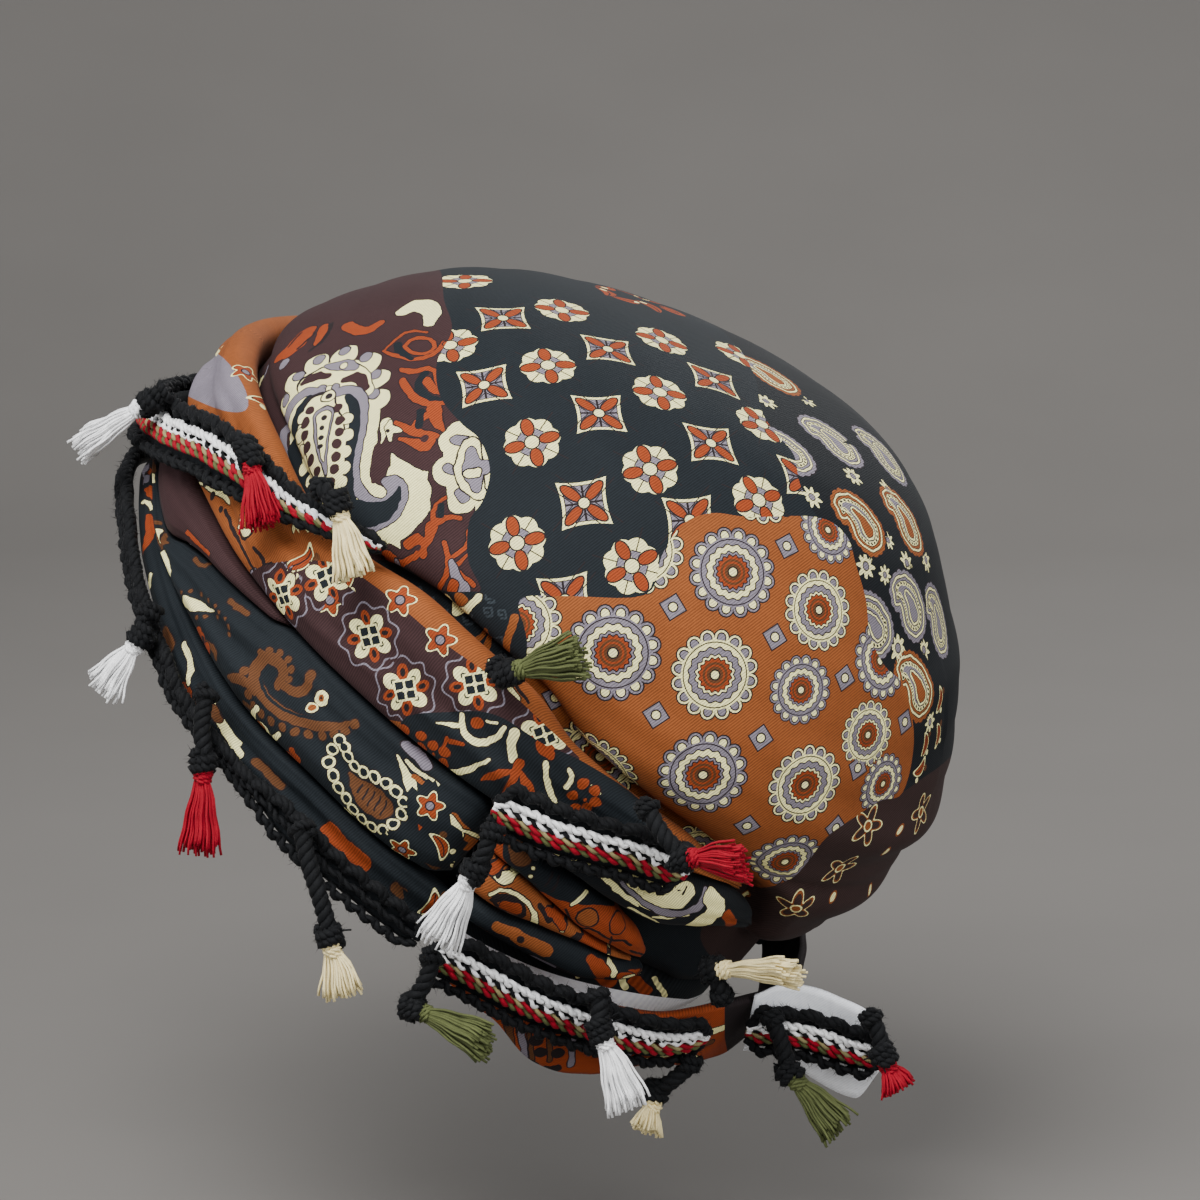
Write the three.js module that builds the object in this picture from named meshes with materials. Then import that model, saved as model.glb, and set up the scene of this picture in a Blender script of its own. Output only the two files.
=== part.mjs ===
// A pre-tied turban of printed twill, shown as it sits on a head.
// Millimetres. The wearer faces -Y, the wearer's left is +X and +Z is up.
// The origin is the middle of the rim, where the head goes in.
// Pieces are laid out in the hat's own frame: x is the wearer's left, y runs back along the rim
// and z up the axis of the crown. Round the head, 0 is the back, 90 the wearer's left,
// 180 the forehead and 270 the wearer's right. "out" is a distance off the head, "up" a height.
import * as THREE from 'three';
import { LoftGeometry } from 'three/addons/geometries/LoftGeometry.js';
import { mergeVertices } from 'three/addons/utils/BufferGeometryUtils.js';

// The head and the walls
const RIM_TILT = 39;
const HEAD_LENGTH = 200;
const HEAD_WIDTH = 164;
const LINING_WALL = 1.2;
const CROWN_WALL = 1.5;
const CLOTH_GAP = 0.5;
const LINING_HEIGHT = 46;
const CROWN_STATIONS = 48;
const LINING_OUT = LINING_WALL;
const HEM_INNER = LINING_OUT + CLOTH_GAP;
const HEM_OUTER = HEM_INNER + CROWN_WALL;
const WRAP_INNER = HEM_OUTER + CLOTH_GAP;

// Crown: how far its outline reaches forward, back and to each side at each height
const CROWN_ROWS = [
  { up: 20, front: 107, back: 112, side: 93 },
  { up: 40, front: 109.5, back: 113.5, side: 96 },
  { up: 52, front: 108.5, back: 115, side: 96.5 },
  { up: 64, front: 105.5, back: 116, side: 95 },
  { up: 75, front: 101, back: 116, side: 92.5 },
  { up: 87, front: 94, back: 113, side: 88.5 },
  { up: 100, front: 84.5, back: 106, side: 82.5 },
  { up: 110, front: 73.5, back: 99, side: 76.5 },
  { up: 119, front: 60, back: 88.5, side: 70 },
  { up: 127, front: 44, back: 79, side: 62 },
  { up: 133, front: 29, back: 71.5, side: 54 },
  { up: 138, front: 11, back: 62.5, side: 44 },
  { up: 141.5, front: -6, back: 53, side: 33 },
  { up: 143.6, front: -22, back: 43, side: 15 },
];
const CROWN_TOP = { y: 33, up: 144.2 };

// Where the crown tucks in behind the wound cloth, how far down its hem goes behind it
// and how high the cloth takes to flare out above it
const TUCK_ROWS = [
  { at: 0, hem: 10, up: 28, flare: 9 },
  { at: 14, hem: 10, up: 30, flare: 9 },
  { at: 20, hem: 10, up: 38, flare: 10 },
  { at: 27, hem: 12, up: 50.5, flare: 12 },
  { at: 37, hem: 14, up: 56, flare: 15 },
  { at: 47, hem: 20, up: 59.5, flare: 15 },
  { at: 57, hem: 36, up: 61.5, flare: 15 },
  { at: 67, hem: 44, up: 64, flare: 15 },
  { at: 80, hem: 50, up: 70, flare: 15 },
  { at: 93, hem: 50, up: 70, flare: 15 },
  { at: 108, hem: 46, up: 64.5, flare: 15 },
  { at: 120, hem: 42, up: 61, flare: 15 },
  { at: 135, hem: 44, up: 63, flare: 15 },
  { at: 150, hem: 42, up: 62, flare: 15 },
  { at: 165, hem: 40, up: 61, flare: 15 },
  { at: 180, hem: 38, up: 59, flare: 15 },
  { at: 205, hem: 38, up: 58.5, flare: 15 },
  { at: 235, hem: 44, up: 62, flare: 15 },
  { at: 270, hem: 50, up: 68, flare: 15 },
  { at: 300, hem: 44, up: 63, flare: 15 },
  { at: 325, hem: 30, up: 52, flare: 14 },
  { at: 340, hem: 18, up: 42, flare: 11 },
];

// Drape folds of the crown: a ridge of the given height off the wall, fading along and across
const CROWN_FOLDS = [
  { at: 8, up: 52, reach: 34, height: 3.5, width: 8 },
  { at: 8, up: 67, reach: 24, height: -1.4, width: 7 },
  { at: 4, up: 75, reach: 40, height: 2.5, width: 7 },
  { at: 335, up: 62, reach: 30, height: 1.5, width: 9 },
  { at: 225, up: 70, reach: 28, height: 2, width: 9 },
];

// Wound turns: the lower and upper edge and how far out each stands, in order round the head
const UPPER_ROWS = [
  { at: 30, low: 47.2, high: 50, out: 9 },
  { at: 37, low: 49.6, high: 53, out: 12 },
  { at: 47, low: 50, high: 58, out: 15.8 },
  { at: 57, low: 45, high: 60.4, out: 17 },
  { at: 67, low: 39, high: 62.9, out: 17.5 },
  { at: 80, low: 37.6, high: 69, out: 18 },
  { at: 93, low: 36.8, high: 69, out: 18 },
  { at: 108, low: 35.6, high: 63.5, out: 18 },
  { at: 120, low: 35.2, high: 60, out: 17.6 },
  { at: 135, low: 35.4, high: 62, out: 17.2 },
  { at: 150, low: 34.8, high: 61, out: 16.6 },
  { at: 165, low: 34.4, high: 60, out: 16 },
  { at: 180, low: 31.5, high: 58, out: 15.6 },
  { at: 205, low: 32.5, high: 57.5, out: 16 },
  { at: 235, low: 34.5, high: 61, out: 17 },
  { at: 270, low: 38, high: 67, out: 17.5 },
  { at: 300, low: 38, high: 62, out: 17 },
  { at: 325, low: 34, high: 51, out: 15 },
  { at: 340, low: 30, high: 40, out: 10 },
];
const MIDDLE_ROWS = [
  { at: 70, low: 13, high: 33, out: 12 },
  { at: 74, low: 9.6, high: 37, out: 15.5 },
  { at: 80, low: 8.6, high: 36.8, out: 16.5 },
  { at: 93, low: 9.4, high: 36, out: 17 },
  { at: 105, low: 9, high: 35, out: 16.8 },
  { at: 113, low: 9.8, high: 31.4, out: 16.4 },
  { at: 125, low: 12.2, high: 27.4, out: 15.6 },
  { at: 133, low: 13.2, high: 23, out: 15 },
  { at: 140, low: 15.4, high: 18.4, out: 14 },
  { at: 155, low: 17.6, high: 20.6, out: 13 },
  { at: 180, low: 14, high: 20.4, out: 12.4 },
  { at: 205, low: 12, high: 24, out: 13.5 },
  { at: 235, low: 10, high: 33.6, out: 15.6 },
  { at: 270, low: 9, high: 37, out: 16.8 },
  { at: 300, low: 10, high: 37, out: 16 },
  { at: 325, low: 15, high: 33, out: 14 },
  { at: 340, low: 20, high: 29, out: 10 },
];
const FOLD_ROWS = [
  { at: 110, low: 33.8, high: 34.8, out: 11 },
  { at: 113, low: 32, high: 34.6, out: 14.5 },
  { at: 125, low: 28, high: 34.4, out: 16.4 },
  { at: 133, low: 23.6, high: 34.6, out: 16.2 },
  { at: 140, low: 19, high: 34.6, out: 15.8 },
  { at: 155, low: 21.4, high: 33.6, out: 14.4 },
  { at: 180, low: 21.4, high: 30.6, out: 13.2 },
  { at: 205, low: 25, high: 31.4, out: 13.8 },
  { at: 220, low: 30.4, high: 32.2, out: 11 },
];
const LOWER_ROWS = [
  { at: 67, low: -5, high: 7, out: 10 },
  { at: 72, low: -6, high: 8, out: 12.5 },
  { at: 80, low: -6, high: 7.8, out: 13.6 },
  { at: 93, low: -5, high: 8.6, out: 14 },
  { at: 105, low: -5.5, high: 8.2, out: 14 },
  { at: 118, low: -2, high: 9.8, out: 14 },
  { at: 125, low: 1, high: 11.4, out: 13.8 },
  { at: 140, low: 6, high: 14.5, out: 13 },
  { at: 155, low: 8.5, high: 16.6, out: 12.2 },
  { at: 180, low: 3, high: 13, out: 11.8 },
  { at: 205, low: -0.5, high: 11.2, out: 12.6 },
  { at: 235, low: -4, high: 9.2, out: 13.8 },
  { at: 270, low: -6, high: 8.2, out: 14 },
  { at: 300, low: -6, high: 9.2, out: 13.6 },
  { at: 325, low: -2, high: 14, out: 12 },
  { at: 340, low: 6, high: 19, out: 10 },
];

// Folds gathered at the back, each a lens that closes towards the hollow
const BAND_ROWS = [
  { at: 69.5, low: 35, high: 36.6, out: 10 },
  { at: 64, low: 34.3, high: 38.2, out: 15 },
  { at: 57, low: 33.8, high: 43.4, out: 16.5 },
  { at: 50, low: 32.5, high: 47.4, out: 17 },
  { at: 43, low: 32, high: 48.7, out: 17 },
  { at: 36, low: 34.5, high: 48.6, out: 16 },
  { at: 28, low: 37, high: 45.6, out: 13.5 },
  { at: 21, low: 35.5, high: 38.5, out: 9 },
];
const GATHER_UPPER_ROWS = [
  { at: 68.5, low: 25, high: 31, out: 11 },
  { at: 63, low: 24.9, high: 31.4, out: 14 },
  { at: 57, low: 23.5, high: 32, out: 15.5 },
  { at: 50, low: 20.8, high: 30.8, out: 15.5 },
  { at: 43, low: 19.2, high: 27, out: 13.5 },
  { at: 36, low: 17.2, high: 20, out: 8 },
];
const GATHER_MIDDLE_ROWS = [
  { at: 68.5, low: 12.5, high: 24.4, out: 12 },
  { at: 62, low: 12.8, high: 24.2, out: 15 },
  { at: 55, low: 15.6, high: 22.2, out: 15.5 },
  { at: 47, low: 17, high: 19.6, out: 14 },
  { at: 38, low: 15.6, high: 16.8, out: 9 },
];
const GATHER_LOWER_ROWS = [
  { at: 66.5, low: 5, high: 11.5, out: 11 },
  { at: 61, low: 5.4, high: 12.2, out: 14 },
  { at: 55, low: 6, high: 15, out: 15 },
  { at: 48, low: 6.6, high: 16.4, out: 15.5 },
  { at: 41, low: 8.6, high: 15.2, out: 13 },
  { at: 34, low: 11.5, high: 14.5, out: 8 },
];

// The end of the cloth along the lower back, with the wall's middle and its two edges
const TAIL_ROWS = [
  { at: 63, low: -13, high: -3, out: 11 },
  { at: 52, low: -15, high: 0, out: 14.5 },
  { at: 41, low: -21, high: 3, out: 16 },
  { at: 33, low: -18, high: 5, out: 17 },
  { at: 24, low: -9, high: 11, out: 18.5 },
  { at: 12, low: -6, high: 18, out: 19.5 },
  { at: 0, low: -3, high: 20, out: 19 },
  { at: -16, low: 2, high: 20, out: 16 },
  { at: -30, low: 6, high: 16, out: 14 },
];
const TAIL_WALL = 2.4;
const TAIL_BOW = 1;
const TAIL_STATIONS = 16;

// Trim of the hem: the middle line of each stretch and its width. It is thick in the middle
// and thinner at its two scalloped edges.
const BRAID_THICKNESS = 4;
const BRAID_EDGE_THICKNESS = 2.2;
const BRAID_CREST_SHARE = 0.55;
const BRAID_STEP = 5;
const BRAID_FRONT = { width: 14, rows: [
  { at: 105, up: 71.5, out: 14 },
  { at: 113, up: 65.5, out: 17.6 },
  { at: 120, up: 60.5, out: 18.6 },
  { at: 126, up: 56.5, out: 18.6 },
  { at: 133, up: 51.5, out: 18.4 },
  { at: 140, up: 45.5, out: 18.2 },
  { at: 150, up: 36, out: 18 },
  { at: 160, up: 28, out: 18 },
  { at: 172, up: 21.5, out: 17.8 },
  { at: 185, up: 18, out: 17.6 },
  { at: 200, up: 17.5, out: 17.6 },
  { at: 215, up: 19, out: 17.8 },
  { at: 230, up: 23, out: 18 },
] };
const BRAID_SIDE = { width: 15, rows: [
  { at: 72, up: 40.5, out: 18.6 },
  { at: 65, up: 43.5, out: 18.6 },
  { at: 58, up: 48, out: 18.2 },
  { at: 52, up: 51, out: 17.8 },
  { at: 45, up: 52.5, out: 17.2 },
] };
const BRAID_RIM = { width: 15, rows: [
  { at: 66, up: -6, out: 15.5 },
  { at: 58, up: -3.5, out: 16.2 },
  { at: 48, up: -2, out: 17.2 },
  { at: 39, up: 0, out: 18.6 },
  { at: 31, up: 2, out: 19.8 },
  { at: 23, up: 8.5, out: 21 },
] };
const BRAID_LOWER = { width: 9, rows: [
  { at: 68, up: -4.5, out: 15 },
  { at: 80, up: -4.2, out: 15.2 },
  { at: 95, up: -3, out: 15.4 },
  { at: 110, up: -2, out: 15.4 },
  { at: 122, up: 1.5, out: 15.2 },
  { at: 135, up: 6, out: 14.6 },
  { at: 150, up: 9.5, out: 13.8 },
  { at: 165, up: 7.5, out: 13.4 },
  { at: 185, up: 3, out: 13.2 },
  { at: 215, up: 0.5, out: 14 },
  { at: 245, up: -2, out: 15 },
  { at: 275, up: -4, out: 15.2 },
  { at: 300, up: -3, out: 14.8 },
] };

// The free end behind the back: its braid and the white wall behind it, by places in the hat's frame
const FREE_END = [
  { x: 26, y: 118.5, up: 11.5, low: 8, high: 9 },
  { x: 21, y: 126, up: 16, low: 9, high: 13 },
  { x: 17, y: 136, up: 21, low: 14, high: 12 },
  { x: 14, y: 145, up: 24.5, low: 16, high: 10 },
  { x: 13, y: 150, up: 27, low: 6, high: 5 },
];
const FLAP_WALL = 1.6;
const FREE_BRAID_WIDTH = 13;

// Tassels: where each leaves the hem, the length and slant of its cord and its fringe.
// A slant is degrees from straight down towards the wearer's back, seen from the wearer's left.
const CORD_RADIUS = 2.5;
const KNOT_RADIUS = 4.2;
const FRINGE_NECK = 2.6;
const FRINGE_TOP = 4.2;
const FRINGE_END = 5.8;
const CORD_HUMP = 1;
const HUMP_SHARE = 0.12;
const CORD_SIDES = 6;
const FRINGE_SIDES = 8;
const FRINGE_FLATNESS = 0.6;
const TASSELS = [
  { dye: 'white', at: 152.6, up: 42.8, out: 26, cord: 4.6, slant: -47, splay: 8, fringe: 19.7, swing: -56, lift: 4 },
  { dye: 'red', at: 127.5, up: 63.3, out: 28, cord: 3.5, slant: 43, splay: 20, fringe: 16.6, swing: 24, lift: 20 },
  { dye: 'cream', at: 114.6, up: 74.1, out: 26.5, cord: 7.1, slant: 60, splay: 22, fringe: 15.8, swing: 22, lift: 12 },
  { dye: 'olive', at: 82.9, up: 71.4, out: 20.5, cord: 3.5, slant: 72, splay: 10, fringe: 18.5, swing: 110, lift: 4 },
  { dye: 'white', at: 125.1, up: 9.1, out: 23, cord: 7, slant: -7, splay: 16, fringe: 14.3, swing: -33, lift: 12 },
  { dye: 'red', at: 110, up: 8.3, out: 22.8, cord: 18.2, slant: 4, splay: 14, fringe: 19.5, swing: 2, lift: 8 },
  { dye: 'cream', at: 88.9, up: 1.9, out: 22.8, cord: 29.1, slant: 16, splay: 4, fringe: 11.4, swing: 15, lift: 1 },
  { dye: 'white', at: 70.4, up: 36.7, out: 25.8, cord: 11.2, slant: -25, splay: 6, fringe: 17.9, swing: -28, lift: 3 },
  { dye: 'olive', at: 65.6, up: -4.1, out: 22.8, cord: 14.5, slant: -23, splay: 8, fringe: 18.9, swing: 75, lift: 4 },
  { dye: 'white', at: 44.8, up: 11.4, out: 25, cord: 8.4, slant: 4, splay: 8, fringe: 17.1, swing: 21, lift: 2 },
  { dye: 'cream', at: 23, up: 0.1, out: 25, cord: 13.5, slant: -49, splay: 4, fringe: 6, swing: -36, lift: 40 },
  { dye: 'red', at: 56.9, up: 66.5, out: 25, cord: 15, slant: 39, splay: 8, fringe: 13.5, swing: 97, lift: 5 },
  { dye: 'cream', at: 28.1, up: 25, out: 25.5, cord: 8.6, slant: -157, splay: 12, fringe: 19.7, swing: 102, lift: 8 },
  { dye: 'olive', at: 15.8, up: 20.5, out: 27.5, cord: 13.7, slant: 16, splay: 10, fringe: 15.9, swing: 47, lift: 2 },
  { dye: 'red', at: 10, up: 37, out: 44, cord: 9.8, slant: 17, splay: 6, fringe: 6, swing: 28, lift: 0 },
  { dye: 'olive', at: 196, up: 16, out: 25, cord: 6, slant: -4, splay: 34, fringe: 20, swing: -6, lift: 34 },
  { dye: 'cream', at: 228, up: -2, out: 23, cord: 8, slant: 4, splay: 18, fringe: 20, swing: 6, lift: 14 },
  { dye: 'red', at: 262, up: -5, out: 23.4, cord: 10, slant: 6, splay: 4, fringe: 20, swing: 8, lift: 1 },
];

// Looks: colour and roughness
const CLOTHS = {
  crown: ['#7d4a26', 0.8], wrapUpper: ['#6b3a22', 0.8], wrapMiddle: ['#20282d', 0.8],
  wrapLower: ['#2b2b30', 0.8], fold: ['#3c2a2c', 0.8], band: ['#c9c3a4', 0.8],
  gather: ['#a3552a', 0.8], tail: ['#8a4526', 0.8], lining: ['#d5dbe6', 0.9],
  braid: ['#1b1c1f', 0.95], cord: ['#141617', 0.95], white: ['#dcdcde', 0.7],
  red: ['#c0142a', 0.7], cream: ['#d9c39a', 0.7], olive: ['#66753f', 0.7],
};
const looks = {};
for (const [name, [color, roughness]] of Object.entries(CLOTHS)) {
  looks[name] = new THREE.MeshStandardMaterial({ color, roughness, metalness: 0, side: THREE.DoubleSide });
}

const RAD = Math.PI / 180;
const WORLD_DOWN = new THREE.Vector3(0, Math.sin(RIM_TILT * RAD), -Math.cos(RIM_TILT * RAD));
const WORLD_BACK = new THREE.Vector3(0, Math.cos(RIM_TILT * RAD), Math.sin(RIM_TILT * RAD));

// A value of a table between its rows, with no corners and no swing past the rows' own values.
// key names the column that holds the place, and it may rise or fall down the table.
function along(rows, key, place, name) {
  let i = 0;
  const falling = rows[0][key] > rows[rows.length - 1][key];
  const side = (row) => (falling ? row[key] > place : row[key] < place);
  while (i < rows.length - 2 && side(rows[i + 1])) i += 1;
  const slope = (a, b) => (rows[b][name] - rows[a][name]) / (rows[b][key] - rows[a][key]);
  const last = rows.length - 1;
  const span = rows[i + 1][key] - rows[i][key];
  const t = Math.min(Math.max((place - rows[i][key]) / span, 0), 1);
  const here = slope(i, i + 1);
  const before = i > 0 ? limited(slope(i - 1, i), here) : here;
  const after = i + 1 < last ? limited(slope(i + 1, i + 2), here) : here;
  const ease = t * t * (3 - 2 * t);
  const start = rows[i][name] + before * span * t;
  const end = rows[i + 1][name] - after * span * (1 - t);
  return start * (1 - ease) + end * ease;
}

// The smaller of two slopes that agree in sign, or level where they don't
function limited(a, b) {
  return a * b <= 0 ? 0 : Math.sign(a) * Math.min(Math.abs(a), Math.abs(b));
}

// A table that goes all the way round, with its ends repeated past 0 and 360
function ringed(rows) {
  const before = { ...rows[rows.length - 1], at: rows[rows.length - 1].at - 360 };
  const after = rows.slice(0, 2).map((row) => ({ ...row, at: row.at + 360 }));
  return [before, ...rows, ...after];
}

// A place round the head
function onHead(at, up, out) {
  const a = HEAD_LENGTH / 2;
  const b = HEAD_WIDTH / 2;
  const normal = outward(at);
  return new THREE.Vector3(
    b * Math.sin(at * RAD) + normal.x * out,
    a * Math.cos(at * RAD) + normal.y * out,
    up,
  );
}

function outward(at) {
  const a = HEAD_LENGTH / 2;
  const b = HEAD_WIDTH / 2;
  return new THREE.Vector3(Math.sin(at * RAD) / b, Math.cos(at * RAD) / a, 0).normalize();
}

// One closed body skinned through rings of points, with rings that shrink to a point as its ends
function solid(name, rings, look) {
  const lofted = new THREE.BufferGeometry().copy(new LoftGeometry(rings));
  lofted.deleteAttribute('normal');
  lofted.deleteAttribute('uv');
  const merged = mergeVertices(lofted, 1e-4);
  const corners = merged.getIndex().array;
  const place = merged.getAttribute('position');
  const corner = (i) => new THREE.Vector3().fromBufferAttribute(place, i);
  const faces = [];
  let volume = 0;
  for (let i = 0; i < corners.length; i += 3) {
    const [a, b, c] = corners.subarray(i, i + 3);
    if (a === b || b === c || c === a) continue;
    faces.push([a, b, c]);
    volume += corner(a).dot(corner(b).cross(corner(c)));
  }
  const facingOut = faces.map(([a, b, c]) => (volume > 0 ? [a, b, c] : [a, c, b]));
  merged.setIndex(facingOut.flat());
  merged.computeVertexNormals();
  const mesh = new THREE.Mesh(merged, look);
  mesh.name = name;
  return mesh;
}

function pointRing(ring) {
  const middle = new THREE.Vector3();
  ring.forEach((p) => middle.addScaledVector(p, 1 / ring.length));
  return ring.map(() => middle.clone());
}

function capped(rings) {
  return [pointRing(rings[0]), ...rings, pointRing(rings[rings.length - 1])];
}

// Crown: the outside, tucked in below and flaring over the wound cloth
const tuckRing = ringed(TUCK_ROWS);

function crownWall(at, up) {
  const front = along(CROWN_ROWS, 'up', up, 'front');
  const back = along(CROWN_ROWS, 'up', up, 'back');
  const x = along(CROWN_ROWS, 'up', up, 'side') * Math.sin(at * RAD);
  const y = (back - front) / 2 + ((back + front) / 2) * Math.cos(at * RAD);
  const normal = outward(at);
  let ridge = 0;
  for (const fold of CROWN_FOLDS) {
    const turn = ((at - fold.at + 540) % 360) - 180;
    const across = (up - fold.up) / fold.width;
    const round = turn / fold.reach;
    ridge += fold.height * Math.exp(-across * across - round * round);
  }
  return new THREE.Vector3(x + normal.x * ridge, y + normal.y * ridge, up);
}

function crownOutside(at, rise) {
  const tuck = along(tuckRing, 'at', at, 'up');
  const hem = along(tuckRing, 'at', at, 'hem');
  if (rise < 1) return onHead(at, hem + (tuck - hem) * rise, HEM_OUTER);
  const up = tuck + (CROWN_ROWS[CROWN_ROWS.length - 1].up - tuck) * (rise - 1);
  const flare = Math.min((up - tuck) / along(tuckRing, 'at', at, 'flare'), 1);
  const ease = Math.sqrt(1 - (1 - flare) * (1 - flare));
  return onHead(at, up, HEM_OUTER).lerp(crownWall(at, up), ease);
}

// The inside is the outside moved in by the wall, and up where the cloth faces down or down near the top
const FLARE_RISE = 0.15;
const TOP_RISE = 0.5;

function crownInside(at, rise) {
  if (rise < 1) return onHead(at, crownOutside(at, rise).z, HEM_INNER);
  const inside = crownOutside(at, rise).addScaledVector(outward(at), -CROWN_WALL);
  inside.z += CROWN_WALL * Math.max(0, 1 - (rise - 1) / FLARE_RISE);
  inside.z -= CROWN_WALL * Math.max(0, 1 - (2 - rise) / TOP_RISE);
  return inside;
}

// Heights of the rings: 0 is the hem, 1 where the cloth leaves the wound turns, 2 the top
const CROWN_RISES = [0, 0.999, 1.03, 1.08, 1.15, 1.24, 1.36, 1.5, 1.63, 1.74, 1.83, 1.9, 1.95, 2];
const INSIDE_RISES = CROWN_RISES.slice(1);

function crown() {
  const round = (place) => {
    const ring = [];
    for (let i = 0; i < CROWN_STATIONS; i += 1) ring.push(place((i * 360) / CROWN_STATIONS));
    return ring;
  };
  const top = new THREE.Vector3(0, CROWN_TOP.y, CROWN_TOP.up);
  const insideTop = new THREE.Vector3(0, CROWN_TOP.y, CROWN_TOP.up - CROWN_WALL);
  const inside = INSIDE_RISES.map((rise) => round((at) => crownInside(at, rise)));
  const hem = round((at) => onHead(at, crownOutside(at, 0).z, HEM_INNER));
  const outside = CROWN_RISES.map((rise) => round((at) => crownOutside(at, rise)));
  const rings = [round(() => insideTop.clone()), ...inside.reverse(), hem, ...outside, round(() => top.clone())];
  return solid('crown', rings, looks.crown);
}

// Lining: a plain band inside the lower edge, which follows the wound cloth's own edge
const lowerRing = ringed([
  { at: 0, up: -4 }, { at: 20, up: -7 }, { at: 45, up: -8 }, { at: 66, up: -8 }, { at: 90, up: -4 },
  { at: 110, up: -3 }, { at: 130, up: 5 }, { at: 150, up: 10 }, { at: 180, up: 5 }, { at: 215, up: 1 },
  { at: 250, up: -3 }, { at: 300, up: -4 }, { at: 330, up: -4 },
]);

function lining() {
  const rings = [];
  for (let i = 0; i <= CROWN_STATIONS; i += 1) {
    const at = (i % CROWN_STATIONS) * (360 / CROWN_STATIONS);
    const low = along(lowerRing, 'at', at, 'up');
    rings.push([
      onHead(at, low, 0),
      onHead(at, low, LINING_OUT),
      onHead(at, LINING_HEIGHT, LINING_OUT),
      onHead(at, LINING_HEIGHT, 0),
    ]);
  }
  return solid('lining', rings, looks.lining);
}

// A wound turn or fold: a flattened roll between its lower and upper edge, creased along its length
const ROLL_SQUARENESS = 2.6;
const CREASES = 3;
const CREASE_DEPTH = 1.6;
const CREASED_HEIGHT = 12;
const CREASED_SHARE = 0.4;
const ROLLS = [
  { name: 'wrap_upper', rows: UPPER_ROWS, look: 'wrapUpper', stations: 44, sides: 12 },
  { name: 'wrap_middle', rows: MIDDLE_ROWS, look: 'wrapMiddle', stations: 44, sides: 12 },
  { name: 'wrap_lower', rows: LOWER_ROWS, look: 'wrapLower', stations: 44, sides: 8 },
  { name: 'front_fold', rows: FOLD_ROWS, look: 'fold', stations: 18, sides: 8 },
  { name: 'back_band', rows: BAND_ROWS, look: 'band', stations: 10, sides: 8 },
  { name: 'gather_upper', rows: GATHER_UPPER_ROWS, look: 'gather', stations: 7, sides: 8 },
  { name: 'gather_middle', rows: GATHER_MIDDLE_ROWS, look: 'gather', stations: 7, sides: 8 },
  { name: 'gather_lower', rows: GATHER_LOWER_ROWS, look: 'gather', stations: 7, sides: 8 },
];

function rollSection(at, rows, sides) {
  const low = along(rows, 'at', at, 'low');
  const high = along(rows, 'at', at, 'high');
  const out = along(rows, 'at', at, 'out');
  const section = [];
  for (let i = 0; i < sides; i += 1) {
    const turn = ((i + 0.5) / sides) * 2 * Math.PI;
    const bend = (value) => Math.sign(value) * Math.abs(value) ** (2 / ROLL_SQUARENESS);
    const across = bend(Math.sin(turn));
    const outside = bend(Math.cos(turn));
    const creased = outside > CREASED_SHARE && high - low > CREASED_HEIGHT;
    const crease = creased ? (CREASE_DEPTH * (1 - Math.cos(across * CREASES * Math.PI))) / 2 : 0;
    const depth = WRAP_INNER + ((out - WRAP_INNER) * (1 + outside)) / 2 - crease;
    section.push(onHead(at, low + ((high - low) * (1 + across)) / 2, depth));
  }
  return section;
}

function roll({ name, rows, look, stations, sides }) {
  const first = rows[0].at;
  const last = rows[rows.length - 1].at;
  const rings = [];
  for (let i = 0; i <= stations; i += 1) {
    rings.push(rollSection(first + ((last - first) * i) / stations, rows, sides));
  }
  return solid(name, capped(rings), looks[look]);
}

// The end of the cloth: a thin wall that stands off the head, a little bowed across its height
function tail() {
  const first = TAIL_ROWS[0].at;
  const last = TAIL_ROWS[TAIL_ROWS.length - 1].at;
  const rings = [];
  for (let i = 0; i <= TAIL_STATIONS; i += 1) {
    const at = first + ((last - first) * i) / TAIL_STATIONS;
    const low = along(TAIL_ROWS, 'at', at, 'low');
    const high = along(TAIL_ROWS, 'at', at, 'high');
    const out = along(TAIL_ROWS, 'at', at, 'out');
    const middle = (low + high) / 2;
    rings.push([
      onHead(at, low, out - TAIL_WALL - TAIL_BOW),
      onHead(at, low, out - TAIL_BOW),
      onHead(at, middle, out),
      onHead(at, high, out - TAIL_BOW),
      onHead(at, high, out - TAIL_WALL - TAIL_BOW),
      onHead(at, middle, out - TAIL_WALL),
    ]);
  }
  return solid('tail', capped(rings), looks.tail);
}

// A strip along a line of places, each with the direction it faces. Its section is given for each
// place as points across the line and off the surface.
function strip(name, spine, section, look) {
  const rings = spine.map((point, i) => {
    const before = spine[Math.max(i - 1, 0)];
    const after = spine[Math.min(i + 1, spine.length - 1)];
    const heading = after.place.clone().sub(before.place).normalize();
    const across = point.normal.clone().cross(heading).normalize();
    const upward = across.z < 0 ? -1 : 1;
    return section(i).map(([side, rise]) => point.place.clone()
      .addScaledVector(across, side * upward)
      .addScaledVector(point.normal, rise));
  });
  return solid(name, capped(rings), look);
}

function trimSection(width) {
  const half = width / 2;
  const crest = half * BRAID_CREST_SHARE;
  return [
    [-half, 0], [-half, BRAID_EDGE_THICKNESS], [-crest, BRAID_THICKNESS],
    [crest, BRAID_THICKNESS], [half, BRAID_EDGE_THICKNESS], [half, 0],
  ];
}

function braid(name, { width, rows }) {
  const first = rows[0].at;
  const span = rows[rows.length - 1].at - first;
  const steps = Math.ceil(Math.abs(span) / BRAID_STEP);
  const spine = [];
  for (let i = 0; i <= steps; i += 1) {
    const at = first + (span * i) / steps;
    const up = along(rows, 'at', at, 'up');
    spine.push({ place: onHead(at, up, along(rows, 'at', at, 'out')), normal: outward(at) });
  }
  return strip(name, spine, () => trimSection(width), looks.braid);
}

// The free end of the cloth behind the back, with its trim
const FREE_NORMAL = new THREE.Vector3(1, 0.28, -0.05).normalize();

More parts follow.
